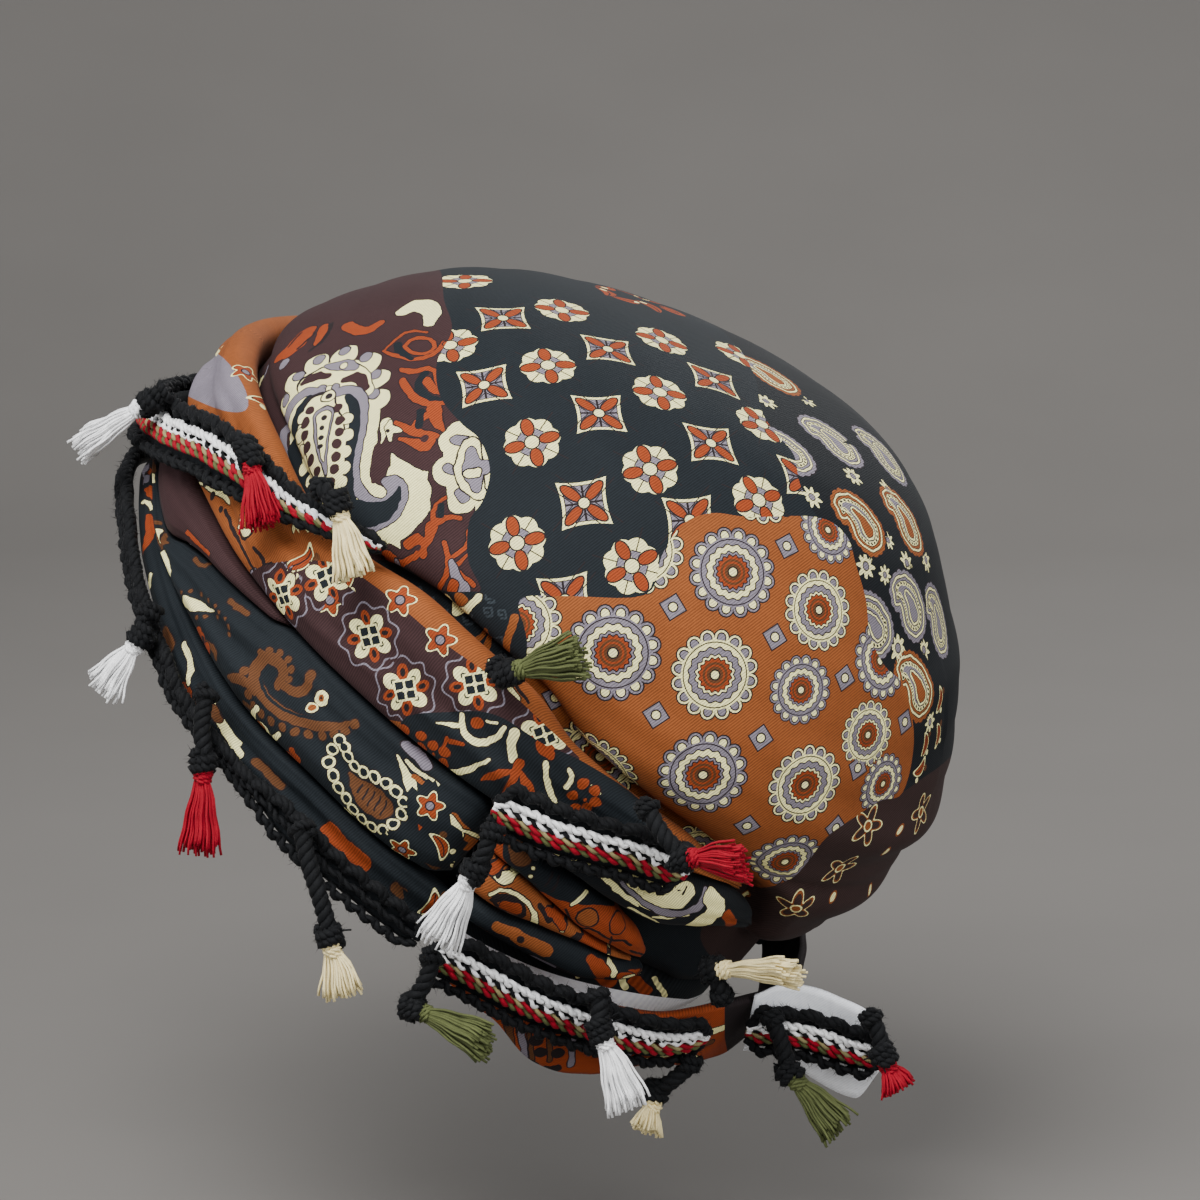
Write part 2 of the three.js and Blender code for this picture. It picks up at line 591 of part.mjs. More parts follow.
function freeEnd() {
  const spine = FREE_END.map((row) => ({
    place: new THREE.Vector3(row.x, row.y, row.up),
    normal: FREE_NORMAL,
  }));
  const flap = (i) => {
    const { low, high } = FREE_END[i];
    const back = -CLOTH_GAP - FLAP_WALL;
    return [[-low, -CLOTH_GAP], [high, -CLOTH_GAP], [high, back], [-low, back]];
  };
  return [
    strip('lining_flap', spine, flap, looks.lining),
    strip('braid_back', spine, () => trimSection(FREE_BRAID_WIDTH), looks.braid),
  ];
}

// A rope along a line of places, with its own radius at each, flattened along one direction
function rope(name, stops, sides, look, normal, flatness) {
  const rings = stops.map((stop, i) => {
    const before = stops[Math.max(i - 1, 0)].place;
    const after = stops[Math.min(i + 1, stops.length - 1)].place;
    const side = after.clone().sub(before).cross(normal).normalize();
    const thick = side.clone().cross(after.clone().sub(before)).normalize();
    const ring = [];
    for (let k = 0; k < sides; k += 1) {
      const turn = ((k + 0.5) * 2 * Math.PI) / sides;
      ring.push(stop.place.clone()
        .addScaledVector(side, stop.radius * Math.cos(turn))
        .addScaledVector(thick, stop.radius * Math.sin(turn) * flatness));
    }
    return ring;
  });
  return solid(name, capped(rings), look);
}

// A direction by its slant and its lift off the cloth, leaning a little to the wearer's side
const SIDE_LEAN = 0.3;

function heading(at, slant, lift) {
  const away = new THREE.Vector3(Math.sign(Math.sin(at * RAD)), 0, 0);
  const normal = outward(at).lerp(away, SIDE_LEAN).normalize();
  return WORLD_DOWN.clone().multiplyScalar(Math.cos(slant * RAD))
    .addScaledVector(WORLD_BACK, Math.sin(slant * RAD))
    .multiplyScalar(Math.cos(lift * RAD))
    .addScaledVector(normal, Math.sin(lift * RAD));
}

function tassel(number, row) {
  const label = `tassel_${String(number).padStart(2, '0')}`;
  const root = onHead(row.at, row.up, row.out);
  const fall = heading(row.at, row.slant, row.splay);
  const swing = heading(row.at, row.swing, row.lift);
  const knot = root.clone().addScaledVector(fall, row.cord);
  const hump = outward(row.at).multiplyScalar(Math.min(CORD_HUMP, row.cord * HUMP_SHARE));
  const knotEnd = knot.clone().addScaledVector(fall, KNOT_RADIUS * 0.6);
  const cord = [
    { place: root, radius: CORD_RADIUS },
    { place: root.clone().lerp(knot, 0.35).add(hump), radius: CORD_RADIUS },
    { place: root.clone().lerp(knot, 0.7), radius: CORD_RADIUS },
    { place: knot, radius: KNOT_RADIUS },
    { place: knotEnd, radius: KNOT_RADIUS * 0.7 },
  ];
  const neck = knot.clone().addScaledVector(swing, KNOT_RADIUS + CLOTH_GAP);
  const down = (share) => neck.clone().addScaledVector(swing, row.fringe * share);
  const fringe = [
    { place: neck, radius: FRINGE_NECK },
    { place: down(0.25), radius: FRINGE_TOP },
    { place: down(0.6), radius: FRINGE_END },
    { place: down(1), radius: FRINGE_END },
  ];
  const normal = outward(row.at);
  return [
    rope(`${label}_cord`, cord, CORD_SIDES, looks.cord, normal, 1),
    rope(`${label}_skirt`, fringe, FRINGE_SIDES, looks[row.dye], normal, FRINGE_FLATNESS),
  ];
}

const turban = new THREE.Group();
turban.name = 'turban';
turban.rotation.x = -RIM_TILT * RAD;
turban.add(crown(), lining());
ROLLS.forEach((row) => turban.add(roll(row)));
turban.add(tail());
turban.add(braid('braid_front', BRAID_FRONT));
turban.add(braid('braid_side', BRAID_SIDE));
turban.add(braid('braid_rim', BRAID_RIM));
turban.add(braid('braid_lower', BRAID_LOWER));
turban.add(...freeEnd());
TASSELS.forEach((row, i) => turban.add(...tassel(i + 1, row)));

export default turban;
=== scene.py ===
# A pre-tied turban of printed cotton twill, with a crocheted hem and wool tassels.
# Millimetres in the hat's own frame unless a name says otherwise: x is the wearer's left, y runs
# back along the rim and z up the axis of the crown. "at" is degrees round the head: 0 is the back,
# 90 the wearer's left, 180 the forehead. Pixels are those of the 1200 x 1200 photograph.
import ast
import itertools
import math
import random

import bpy
import numpy as np
from mathutils import Matrix, Vector
from mathutils.bvhtree import BVHTree


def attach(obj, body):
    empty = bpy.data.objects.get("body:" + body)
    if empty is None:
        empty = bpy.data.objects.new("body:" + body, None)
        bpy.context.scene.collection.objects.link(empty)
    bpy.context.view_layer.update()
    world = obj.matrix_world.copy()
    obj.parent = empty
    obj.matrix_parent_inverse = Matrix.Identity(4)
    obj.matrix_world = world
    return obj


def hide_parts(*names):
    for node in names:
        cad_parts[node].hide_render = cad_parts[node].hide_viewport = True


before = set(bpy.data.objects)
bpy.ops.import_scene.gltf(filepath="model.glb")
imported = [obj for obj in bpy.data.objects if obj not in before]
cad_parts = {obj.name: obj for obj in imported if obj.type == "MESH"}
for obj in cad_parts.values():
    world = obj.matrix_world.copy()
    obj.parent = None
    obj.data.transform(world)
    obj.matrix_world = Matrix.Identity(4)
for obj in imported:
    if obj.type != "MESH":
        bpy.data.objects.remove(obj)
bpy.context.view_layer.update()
MM = 0.001
RNG = random.Random(7)

# Camera: seen from the wearer's left, a little behind and above
AZIMUTH = math.radians(110)
ELEVATION = math.radians(12)
PHOTO_SIZE = 1200
PHOTO_SCALE = 3.6
RIM_CENTRE_PX = (440, 740)
CAMERA_DISTANCE = 1600
SENSOR = 36
TOWARDS = np.array([math.sin(AZIMUTH) * math.cos(ELEVATION), -math.cos(AZIMUTH) * math.cos(ELEVATION),
                    math.sin(ELEVATION)])
RIGHT = np.array([math.cos(AZIMUTH), math.sin(AZIMUTH), 0])
ABOVE = np.cross(TOWARDS, RIGHT)
TARGET = (RIGHT * (PHOTO_SIZE / 2 - RIM_CENTRE_PX[0])
          - ABOVE * (PHOTO_SIZE / 2 - RIM_CENTRE_PX[1])) / PHOTO_SCALE
EYE = TARGET + TOWARDS * CAMERA_DISTANCE

# The head and the walls
RIM_TILT = math.radians(39)
HALF_LENGTH = 100
HALF_WIDTH = 82
HEM_INNER = 1.7
HEM_OUTER = 3.2
WRAP_INNER = 3.7
CROWN_WALL = 1.5
LINING_WALL = 1.2
LINING_HEIGHT = 46


def table(columns, *rows):
    return {name: np.array(values, float) for name, values in zip(columns.split(), zip(*rows))}


def ringed(rows):
    """A table round the whole head, with its ends repeated past 0 and 360."""
    shift = {name: (360 if name == "at" else 0) for name in rows}
    return {name: np.concatenate([[v[-1] - shift[name]], v, v[:2] + shift[name]]) for name, v in rows.items()}


def agreed(a, b):
    """The smaller of two slopes that agree in sign, or level where they don't."""
    return np.where(a * b <= 0, 0, np.sign(a) * np.minimum(abs(a), abs(b)))


def between(rows, key, place, name):
    """A column's value between its rows, with no corners and no swing past the rows' own values."""
    spots, values = rows[key], rows[name]
    if spots[0] > spots[-1]:
        spots, values = spots[::-1], values[::-1]
    slopes = np.diff(values) / np.diff(spots)
    i = np.clip(np.searchsorted(spots, place, side="right") - 1, 0, len(slopes) - 1)
    span = spots[i + 1] - spots[i]
    t = np.clip((place - spots[i]) / span, 0, 1)
    before = agreed(slopes[np.maximum(i - 1, 0)], slopes[i])
    after = agreed(slopes[np.minimum(i + 1, len(slopes) - 1)], slopes[i])
    ease = t * t * (3 - 2 * t)
    start = values[i] + before * span * t
    end = values[i + 1] - after * span * (1 - t)
    return start * (1 - ease) + end * ease


# Crown: how far it reaches forward, back and to each side at each height
CROWN_ROWS = table(
    "up front back side",
    (20, 107, 112, 93), (40, 109.5, 113.5, 96), (52, 108.5, 115, 96.5), (64, 105.5, 116, 95),
    (75, 101, 116, 92.5), (87, 94, 113, 88.5), (100, 84.5, 106, 82.5), (110, 73.5, 99, 76.5),
    (119, 60, 88.5, 70), (127, 44, 79, 62), (133, 29, 71.5, 54), (138, 11, 62.5, 44),
    (141.5, -6, 53, 33), (143.6, -22, 43, 15))
CROWN_TOP = (0, 33, 144.2)
# Where the crown tucks in behind the wound cloth, its hem, and how it flares above
TUCK_ROWS = ringed(table(
    "at hem up flare",
    (0, 10, 28, 9), (14, 10, 30, 9), (20, 10, 38, 10), (27, 12, 50.5, 12), (37, 14, 56, 15),
    (47, 20, 59.5, 15),
    (57, 36, 61.5, 15), (67, 44, 64, 15), (80, 50, 70, 15), (93, 50, 70, 15), (108, 46, 64.5, 15),
    (120, 42, 61, 15), (135, 44, 63, 15), (150, 42, 62, 15), (165, 40, 61, 15), (180, 38, 59, 15),
    (205, 38, 58.5, 15), (235, 44, 62, 15), (270, 50, 68, 15), (300, 44, 63, 15), (325, 30, 52, 14),
    (340, 18, 42, 11)))
# Drape folds of the crown: a ridge or, below zero, a dip
CROWN_FOLDS = [
    {"at": 8, "up": 52, "reach": 34, "height": 3.5, "width": 8},
    {"at": 8, "up": 67, "reach": 24, "height": -1.4, "width": 7},
    {"at": 4, "up": 75, "reach": 40, "height": 2.5, "width": 7},
    {"at": 335, "up": 62, "reach": 30, "height": 1.5, "width": 9},
    {"at": 225, "up": 70, "reach": 28, "height": 2, "width": 9},
    {"at": 20, "up": 58, "reach": 22, "height": -2.2, "width": 2.5},
    {"at": 150, "up": 72, "reach": 16, "height": 1.2, "width": 5},
    {"at": 62, "up": 76, "reach": 20, "height": -1.2, "width": 4},
]

# Wound turns and folds: lower and upper edge and how far out each stands
UPPER_ROWS = table(
    "at low high out",
    (30, 47.2, 50, 9), (37, 49.6, 53, 12), (47, 50, 58, 15.8), (57, 45, 60.4, 17), (67, 39, 62.9, 17.5),
    (80, 37.6, 69, 18), (93, 36.8, 69, 18), (108, 35.6, 63.5, 18), (120, 35.2, 60, 17.6),
    (135, 35.4, 62, 17.2),
    (150, 34.8, 61, 16.6), (165, 34.4, 60, 16), (180, 31.5, 58, 15.6), (205, 32.5, 57.5, 16),
    (235, 34.5, 61, 17),
    (270, 38, 67, 17.5), (300, 38, 62, 17), (325, 34, 51, 15), (340, 30, 40, 10))
MIDDLE_ROWS = table(
    "at low high out",
    (70, 13, 33, 12), (74, 9.6, 37, 15.5), (80, 8.6, 36.8, 16.5), (93, 9.4, 36, 17), (105, 9, 35, 16.8),
    (113, 9.8, 31.4, 16.4), (125, 12.2, 27.4, 15.6), (133, 13.2, 23, 15), (140, 15.4, 18.4, 14),
    (155, 17.6, 20.6, 13), (180, 14, 20.4, 12.4), (205, 12, 24, 13.5), (235, 10, 33.6, 15.6),
    (270, 9, 37, 16.8),
    (300, 10, 37, 16), (325, 15, 33, 14), (340, 20, 29, 10))
FOLD_ROWS = table(
    "at low high out",
    (110, 33.8, 34.8, 11), (113, 32, 34.6, 14.5), (125, 28, 34.4, 16.4), (133, 23.6, 34.6, 16.2),
    (140, 19, 34.6, 15.8), (155, 21.4, 33.6, 14.4), (180, 21.4, 30.6, 13.2), (205, 25, 31.4, 13.8),
    (220, 30.4, 32.2, 11))
LOWER_ROWS = table(
    "at low high out",
    (67, -5, 7, 10), (72, -6, 8, 12.5), (80, -6, 7.8, 13.6), (93, -5, 8.6, 14), (105, -5.5, 8.2, 14),
    (118, -2, 9.8, 14), (125, 1, 11.4, 13.8), (140, 6, 14.5, 13), (155, 8.5, 16.6, 12.2), (180, 3, 13, 11.8),
    (205, -0.5, 11.2, 12.6), (235, -4, 9.2, 13.8), (270, -6, 8.2, 14), (300, -6, 9.2, 13.6),
    (325, -2, 14, 12),
    (340, 6, 19, 10))
BAND_ROWS = table(
    "at low high out",
    (69.5, 35, 36.6, 10), (64, 34.3, 38.2, 15), (57, 33.8, 43.4, 16.5), (50, 32.5, 47.4, 17),
    (43, 32, 48.7, 17),
    (36, 34.5, 48.6, 16), (28, 37, 45.6, 13.5), (21, 35.5, 38.5, 9))
GATHER_UPPER_ROWS = table(
    "at low high out",
    (68.5, 25, 31, 11), (63, 24.9, 31.4, 14), (57, 23.5, 32, 15.5), (50, 20.8, 30.8, 15.5),
    (43, 19.2, 27, 13.5),
    (36, 17.2, 20, 8))
GATHER_MIDDLE_ROWS = table(
    "at low high out",
    (68.5, 12.5, 24.4, 12), (62, 12.8, 24.2, 15), (55, 15.6, 22.2, 15.5), (47, 17, 19.6, 14),
    (38, 15.6, 16.8, 9))
GATHER_LOWER_ROWS = table(
    "at low high out",
    (66.5, 5, 11.5, 11), (61, 5.4, 12.2, 14), (55, 6, 15, 15), (48, 6.6, 16.4, 15.5), (41, 8.6, 15.2, 13),
    (34, 11.5, 14.5, 8))
TAIL_ROWS = table(
    "at low high out",
    (63, -13, -3, 11), (52, -15, 0, 14.5), (41, -21, 3, 16), (33, -18, 5, 17), (24, -9, 11, 18.5),
    (12, -6, 18, 19.5), (0, -3, 20, 19), (-16, 2, 20, 16), (-30, 6, 16, 14))
TAIL_WALL = 2.4
LINING_ROWS = ringed(table(
    "at low",
    (0, -4), (20, -7), (45, -8), (66, -8), (90, -4), (110, -3), (130, 5), (150, 10), (180, 5), (215, 1),
    (250, -3), (300, -4), (330, -4)))

# Trim of the hem: the middle line of each stretch
TRIMS = {
    "braid_front": (14, table(
        "at up out",
        (105, 71.5, 14), (113, 65.5, 17.6), (120, 60.5, 18.6), (126, 56.5, 18.6), (133, 51.5, 18.4),
        (140, 45.5, 18.2), (150, 36, 18), (160, 28, 18), (172, 21.5, 17.8), (185, 18, 17.6),
        (200, 17.5, 17.6),
        (215, 19, 17.8), (230, 23, 18))),
    "braid_side": (15, table(
        "at up out",
        (72, 40.5, 18.6), (65, 43.5, 18.6), (58, 48, 18.2), (52, 51, 17.8), (45, 52.5, 17.2))),
    "braid_rim": (15, table(
        "at up out",
        (66, -6, 15.5), (58, -3.5, 16.2), (48, -2, 17.2), (39, 0, 18.6), (31, 2, 19.8), (23, 8.5, 21))),
    "braid_lower": (9, table(
        "at up out",
        (68, -4.5, 15), (80, -4.2, 15.2), (95, -3, 15.4), (110, -2, 15.4), (122, 1.5, 15.2), (135, 6, 14.6),
        (150, 9.5, 13.8), (165, 7.5, 13.4), (185, 3, 13.2), (215, 0.5, 14), (245, -2, 15), (275, -4, 15.2),
        (300, -3, 14.8))),
}
FREE_END = table(
    "x y up low high",
    (26, 118.5, 11.5, 8, 9), (21, 126, 16, 9, 13), (17, 136, 21, 14, 12), (14, 145, 24.5, 16, 10),
    (13, 150, 27, 6, 5))
FREE_NORMAL = np.array([1, 0.28, -0.05])
FREE_TRIM_WIDTH = 13
FLAP_WALL = 1.6
CLOTH_GAP = 0.5

# Tassels: where each leaves the hem, its cord and its fringe, in millimetres and degrees.
# A slant is from straight down towards the wearer's back; splay and lift are off the cloth.
TASSEL_COLUMNS = "dye at up out cord slant splay fringe swing lift".split()
TASSELS = [dict(zip(TASSEL_COLUMNS, row)) for row in (
    ("white", 152.6, 42.8, 26, 4.6, -47, 8, 19.7, -56, 4),
    ("red", 127.5, 63.3, 28, 3.5, 43, 20, 16.6, 24, 20),
    ("cream", 114.6, 74.1, 26.5, 7.1, 60, 22, 15.8, 22, 12),
    ("olive", 82.9, 71.4, 20.5, 3.5, 72, 10, 18.5, 110, 4),
    ("white", 125.1, 9.1, 23, 7, -7, 16, 14.3, -33, 12),
    ("red", 110, 8.3, 22.8, 18.2, 4, 14, 19.5, 2, 8),
    ("cream", 88.9, 1.9, 22.8, 29.1, 16, 4, 11.4, 15, 1),
    ("white", 70.4, 36.7, 25.8, 11.2, -25, 6, 17.9, -28, 3),
    ("olive", 65.6, -4.1, 22.8, 14.5, -23, 8, 18.9, 75, 4),
    ("white", 44.8, 11.4, 25, 8.4, 4, 8, 17.1, 21, 2),
    ("cream", 23, 0.1, 25, 13.5, -49, 4, 6, -36, 40),
    ("red", 56.9, 66.5, 25, 15, 39, 8, 13.5, 97, 5),
    ("cream", 28.1, 25, 25.5, 8.6, -157, 12, 19.7, 102, 8),
    ("olive", 15.8, 20.5, 27.5, 13.7, 16, 10, 15.9, 47, 2),
    ("red", 10, 37, 44, 9.8, 17, 6, 6, 28, 0),
    ("olive", 196, 16, 25, 6, -4, 34, 20, -6, 34),
    ("cream", 228, -2, 23, 8, 4, 18, 20, 6, 14),
    ("red", 262, -5, 23.4, 10, 6, 4, 20, 8, 1))]


# Places and directions
def to_world(points):
    x, y, z = np.moveaxis(np.asarray(points, float), -1, 0)
    c, s = math.cos(RIM_TILT), math.sin(RIM_TILT)
    return np.stack([x, y * c + z * s, z * c - y * s], -1)


def unit(vectors):
    vectors = np.asarray(vectors, float)
    return vectors / np.maximum(np.linalg.norm(vectors, axis=-1, keepdims=True), 1e-9)


def outward(at):
    turn = np.radians(at)
    return unit(np.stack([np.sin(turn) / HALF_WIDTH, np.cos(turn) / HALF_LENGTH, 0 * turn], -1))


def on_head(at, up, out):
    at, up, out = np.broadcast_arrays(at, up, out)
    turn = np.radians(at)
    base = np.stack([HALF_WIDTH * np.sin(turn), HALF_LENGTH * np.cos(turn), up], -1)
    return base + outward(at) * out[..., None]


def photo(points):
    """The pixel of each world point."""
    rays = points - EYE
    depth = -(rays @ TOWARDS)
    return np.stack([PHOTO_SIZE / 2 + PHOTO_SCALE * CAMERA_DISTANCE * (rays @ RIGHT) / depth,
                     PHOTO_SIZE / 2 - PHOTO_SCALE * CAMERA_DISTANCE * (rays @ ABOVE) / depth], -1)


def ray(pixel):
    across = (pixel[0] - PHOTO_SIZE / 2) / PHOTO_SCALE
    up = -(pixel[1] - PHOTO_SIZE / 2) / PHOTO_SCALE
    return unit(TARGET + RIGHT * across + ABOVE * up - EYE)


HAT_MIDDLE = to_world((0, 10, 60))


def near_side(points):
    """Points behind the hat's middle, mirrored to the side that the photograph shows."""
    behind = np.minimum((points - HAT_MIDDLE) @ TOWARDS, 0)
    return points - 2 * behind[..., None] * TOWARDS


def seen_from(eye_line, surface):
    """Where a line of sight meets a cloth and the way the cloth faces there, or the nearest place."""
    hit, normal, _, _ = surface.ray_cast(Vector(EYE), Vector(eye_line))
    if hit is None:
        hit, normal, _, _ = surface.find_nearest(Vector(EYE + eye_line * CAMERA_DISTANCE))
    return np.array(hit), np.array(normal)


class Patch:
    """Flat coordinates in millimetres about a spot of a cloth, right and up as the photograph shows it."""

    def __init__(self, surface, pixel, turn=0, size=1.0):
        self.size = size
        self.surface = surface
        self.spot, normal = seen_from(ray(pixel), surface)
        self.normal = normal if normal @ TOWARDS > 0 else -normal
        across = unit(RIGHT - self.normal * (RIGHT @ self.normal))
        upward = np.cross(self.normal, across)
        c, s = math.cos(math.radians(turn)), math.sin(math.radians(turn))
        self.across = across * c + upward * s
        self.upward = upward * c - across * s

    def flat(self, points):
        away = points - self.spot
        level = away - (away @ self.normal)[..., None] * self.normal
        stretch = np.linalg.norm(away, axis=-1) / np.maximum(np.linalg.norm(level, axis=-1), 1e-6)
        return np.stack([level @ self.across, level @ self.upward], -1) * stretch[..., None] / self.size

    def from_photo(self, x, y):
        return self.flat(seen_from(ray((x, y)), self.surface)[0])


# Colours of the dyed threads in daylight, as sRGB
DYES = {
    "navy": "#1b2024", "black": "#171a1d", "rust": "#8a4c25", "brick": "#8f3d1c", "cream": "#f4edaa",
    "lavender": "#7c757f", "maroon": "#382526", "brown": "#372826", "ink": "#251e1f", "umber": "#5d3a22",
    "white": "#eeeeee", "lining": "#eef0f4", "yarn": "#0f1012", "red": "#90081f", "wool": "#e6d6a2",
    "olive": "#525834", "beige": "#8a8058", "slate": "#32393e",
}


def dye(name):
    """A dye's colour as the linear light that the shader works in."""
    parts = [int(DYES[name][i:i + 2], 16) / 255 for i in (1, 3, 5)]
    return [v / 12.92 if v <= 0.04045 else ((v + 0.055) / 1.055) ** 2.4 for v in parts] + [1]


def add(tree, kind, settings=None, inputs=None):
    """One node with its settings, and its inputs as values or as links."""
    node = tree.nodes.new(kind)
    for name, value in (settings or {}).items():
        setattr(node, name, value)
    for name, value in (inputs or {}).items():
        if isinstance(value, bpy.types.NodeSocket):
            tree.links.new(value, node.inputs[name])
        else:
            node.inputs[name].default_value = value
    return node


OPERATIONS = {
    ast.Add: "ADD", ast.Sub: "SUBTRACT", ast.Mult: "MULTIPLY", ast.Div: "DIVIDE", ast.Pow: "POWER",
    ast.Lt: "LESS_THAN", ast.Gt: "GREATER_THAN", "sin": "SINE", "cos": "COSINE", "sqrt": "SQRT",
    "abs": "ABSOLUTE", "min": "MINIMUM", "max": "MAXIMUM", "mod": "FLOORED_MODULO", "atan2": "ARCTAN2",
}


def formula(tree, text, names):
    """The Math nodes that work out an arithmetic text; names gives the values and sockets it speaks of."""
    def work_out(kind, *values):
        return add(tree, "ShaderNodeMath", {"operation": OPERATIONS[kind]},
            dict(enumerate(values))).outputs[0]

    def value_of(part):
        if isinstance(part, ast.Constant):
            return part.value
        if isinstance(part, ast.Name):
            return names[part.id]
        if isinstance(part, ast.UnaryOp):
            return work_out(ast.Mult, value_of(part.operand), -1)
        if isinstance(part, ast.Compare):
            return work_out(type(part.ops[0]), value_of(part.left), value_of(part.comparators[0]))
        if isinstance(part, ast.BinOp):
            return work_out(type(part.op), value_of(part.left), value_of(part.right))
        return work_out(part.func.id, *[value_of(argument) for argument in part.args])

    return value_of(ast.parse(text).body[0].value)


def blot(tree, place, strokes):
    """How far a place is outside the nearest of some brush strokes, each a row of (x, y, half width).
    No socket here is turned from a number to a vector on its own: the renderer would put those last
    and then hold every stroke at once."""
    def work_out(kind, operation, inputs, output=0):
        return add(tree, kind, {"operation": operation}, inputs).outputs[output]

    nearest = None
    for stroke in strokes:
        for start, end in zip(stroke, stroke[1:] or stroke):
            line = np.subtract(end, start)
            length = line[:2] @ line[:2]
            if length < 1e-6:
                apart = work_out("ShaderNodeVectorMath", "DISTANCE", {0: place, 1: (*start[:2], 0)}, "Value")
                edge = work_out("ShaderNodeMath", "SUBTRACT", {0: apart, 1: start[2]})
            else:
                away = work_out("ShaderNodeVectorMath", "SUBTRACT", {0: place, 1: (*start[:2], 0)})
                share = work_out("ShaderNodeVectorMath", "DOT_PRODUCT",
                                 {0: away, 1: (line[0] / length, line[1] / length, 0)}, "Value")
                share = add(tree, "ShaderNodeClamp", {}, {0: share}).outputs[0]
                foot = work_out("ShaderNodeVectorMath", "SCALE", {0: (line[0], line[1], 0), "Scale": share})
                apart = work_out("ShaderNodeVectorMath", "DISTANCE", {0: away, 1: foot}, "Value")
                width = work_out("ShaderNodeMath", "MULTIPLY_ADD", {0: share, 1: -line[2], 2: -start[2]})
                edge = work_out("ShaderNodeMath", "ADD", {0: apart, 1: width})
            nearest = edge if nearest is None else work_out(
                "ShaderNodeMath", "MINIMUM", {0: nearest, 1: edge})
    return nearest


def painted(tree, colour, shade, where):
    """A dye printed over a colour wherever a mask is 1."""
    return add(tree, "ShaderNodeMix", {"data_type": "RGBA"}, {0: where, 6: colour, 7: dye(shade)}).outputs[2]


RIB_PITCH = 0.68
RIB_TURN = math.radians(-52)
RIB_SHADE = 0.5
PLAIN_SHADE = 0.12


def twill_finish(tree, colour, shade=RIB_SHADE):
    """Printed cotton twill: fine diagonal ribs, soft and matt, with a slight bloom at a flat angle."""
    cloth = add(tree, "ShaderNodeUVMap", {"uv_map": "cloth"}).outputs[0]
    names = dict(zip("st", add(tree, "ShaderNodeSeparateXYZ", {}, {0: cloth}).outputs))
    names |= {"c": math.cos(RIB_TURN) * math.tau / RIB_PITCH, "s2": math.sin(RIB_TURN) * math.tau / RIB_PITCH}
    slub = add(tree, "ShaderNodeTexNoise", {}, {"Vector": cloth, "Scale": 0.7, "Detail": 3}).outputs[0]
    worn = add(tree, "ShaderNodeTexNoise", {}, {"Vector": cloth, "Scale": 0.06, "Detail": 2}).outputs[0]
    rib = formula(tree, "sin(s * c + t * s2 + n * 2.5) * 0.5 + 0.5", names | {"n": slub})
    light = formula(tree, "1.12 - k * (1 - rib) + (n - 0.5) * 0.28 + (w - 0.5) * 0.3",
                    {"k": shade, "rib": rib, "n": slub, "w": worn})
    lit = add(tree, "ShaderNodeVectorMath", {"operation": "SCALE"}, {0: colour, "Scale": light}).outputs[0]
    height = formula(tree, "rib * 0.7 + n * 0.6", {"rib": rib, "n": slub})
    bump = add(tree, "ShaderNodeBump", {},
        {"Strength": 0.35, "Distance": 0.0002, "Height": height}).outputs[0]
    add(tree, "ShaderNodeOutputMaterial", {}, {0: add(tree, "ShaderNodeBsdfPrincipled", {}, {
        "Base Color": lit, "Roughness": 0.8, "Sheen Weight": 0.02, "Sheen Roughness": 0.4,
        "Specular IOR Level": 0.14, "Normal": bump}).outputs[0]})


CLOTHS = {}
OUTLINED = ("lavender", "brick", "cream", "umber")
WAVER = 1.2


def rounded(stroke):
    """A brush stroke with its corners cut, so it runs in a curve."""
    if len(stroke) < 3:
        return stroke
    stroke = np.array(stroke, float)
    near, far = stroke[:-1] * 0.72 + stroke[1:] * 0.28, stroke[:-1] * 0.28 + stroke[1:] * 0.72
    near[0], far[-1] = stroke[0], stroke[-1]
    return np.stack([near, far], 1).reshape(-1, 3).tolist()


def printed_twill(name, ground, layers):
    """A print on twill: a motif's named values and masks, or brush strokes, over the ground colour."""
    if name in CLOTHS:
        return CLOTHS[name]
    material = CLOTHS[name] = bpy.data.materials.new(name)
    material.use_nodes = True
    tree = material.node_tree
    tree.nodes.clear()
    place = add(tree, "ShaderNodeUVMap", {"uv_map": "motif"}).outputs[0]
    names = dict(zip("xy", add(tree, "ShaderNodeSeparateXYZ", {}, {0: place}).outputs))
    names |= {"turn": math.tau}
    waver = add(tree, "ShaderNodeTexNoise", {}, {"Vector": place, "Scale": 0.3, "Detail": 1}).outputs["Color"]
    drawn_at = add(tree, "ShaderNodeVectorMath", {"operation": "MULTIPLY_ADD"}, {
        0: waver, 1: (WAVER, WAVER, 0), 2: place}).outputs[0]
    names["r"] = formula(tree, "sqrt(x * x + y * y)", names)
    names["a"] = formula(tree, "atan2(y, x)", names)
    colour = add(tree, "ShaderNodeRGB").outputs[0]
    colour.default_value = dye(ground)
    for shade, drawn in layers:
        if not isinstance(drawn, str):
            names["edge"] = blot(tree, drawn_at, [rounded(stroke) for stroke in drawn])
            if shade not in DYES:
                names[shade] = names["edge"]
                continue
            if shade in OUTLINED:
                colour = painted(tree, colour, "ink", formula(tree, "edge < 0.32", names))
            colour = painted(tree, colour, shade, formula(tree, "edge < 0", names))
        elif shade in DYES:
            colour = painted(tree, colour, shade, formula(tree, drawn, names))
        else:
            names[shade] = formula(tree, drawn, names)
    twill_finish(tree, colour, PLAIN_SHADE if ground == "lining" else RIB_SHADE)
    return material


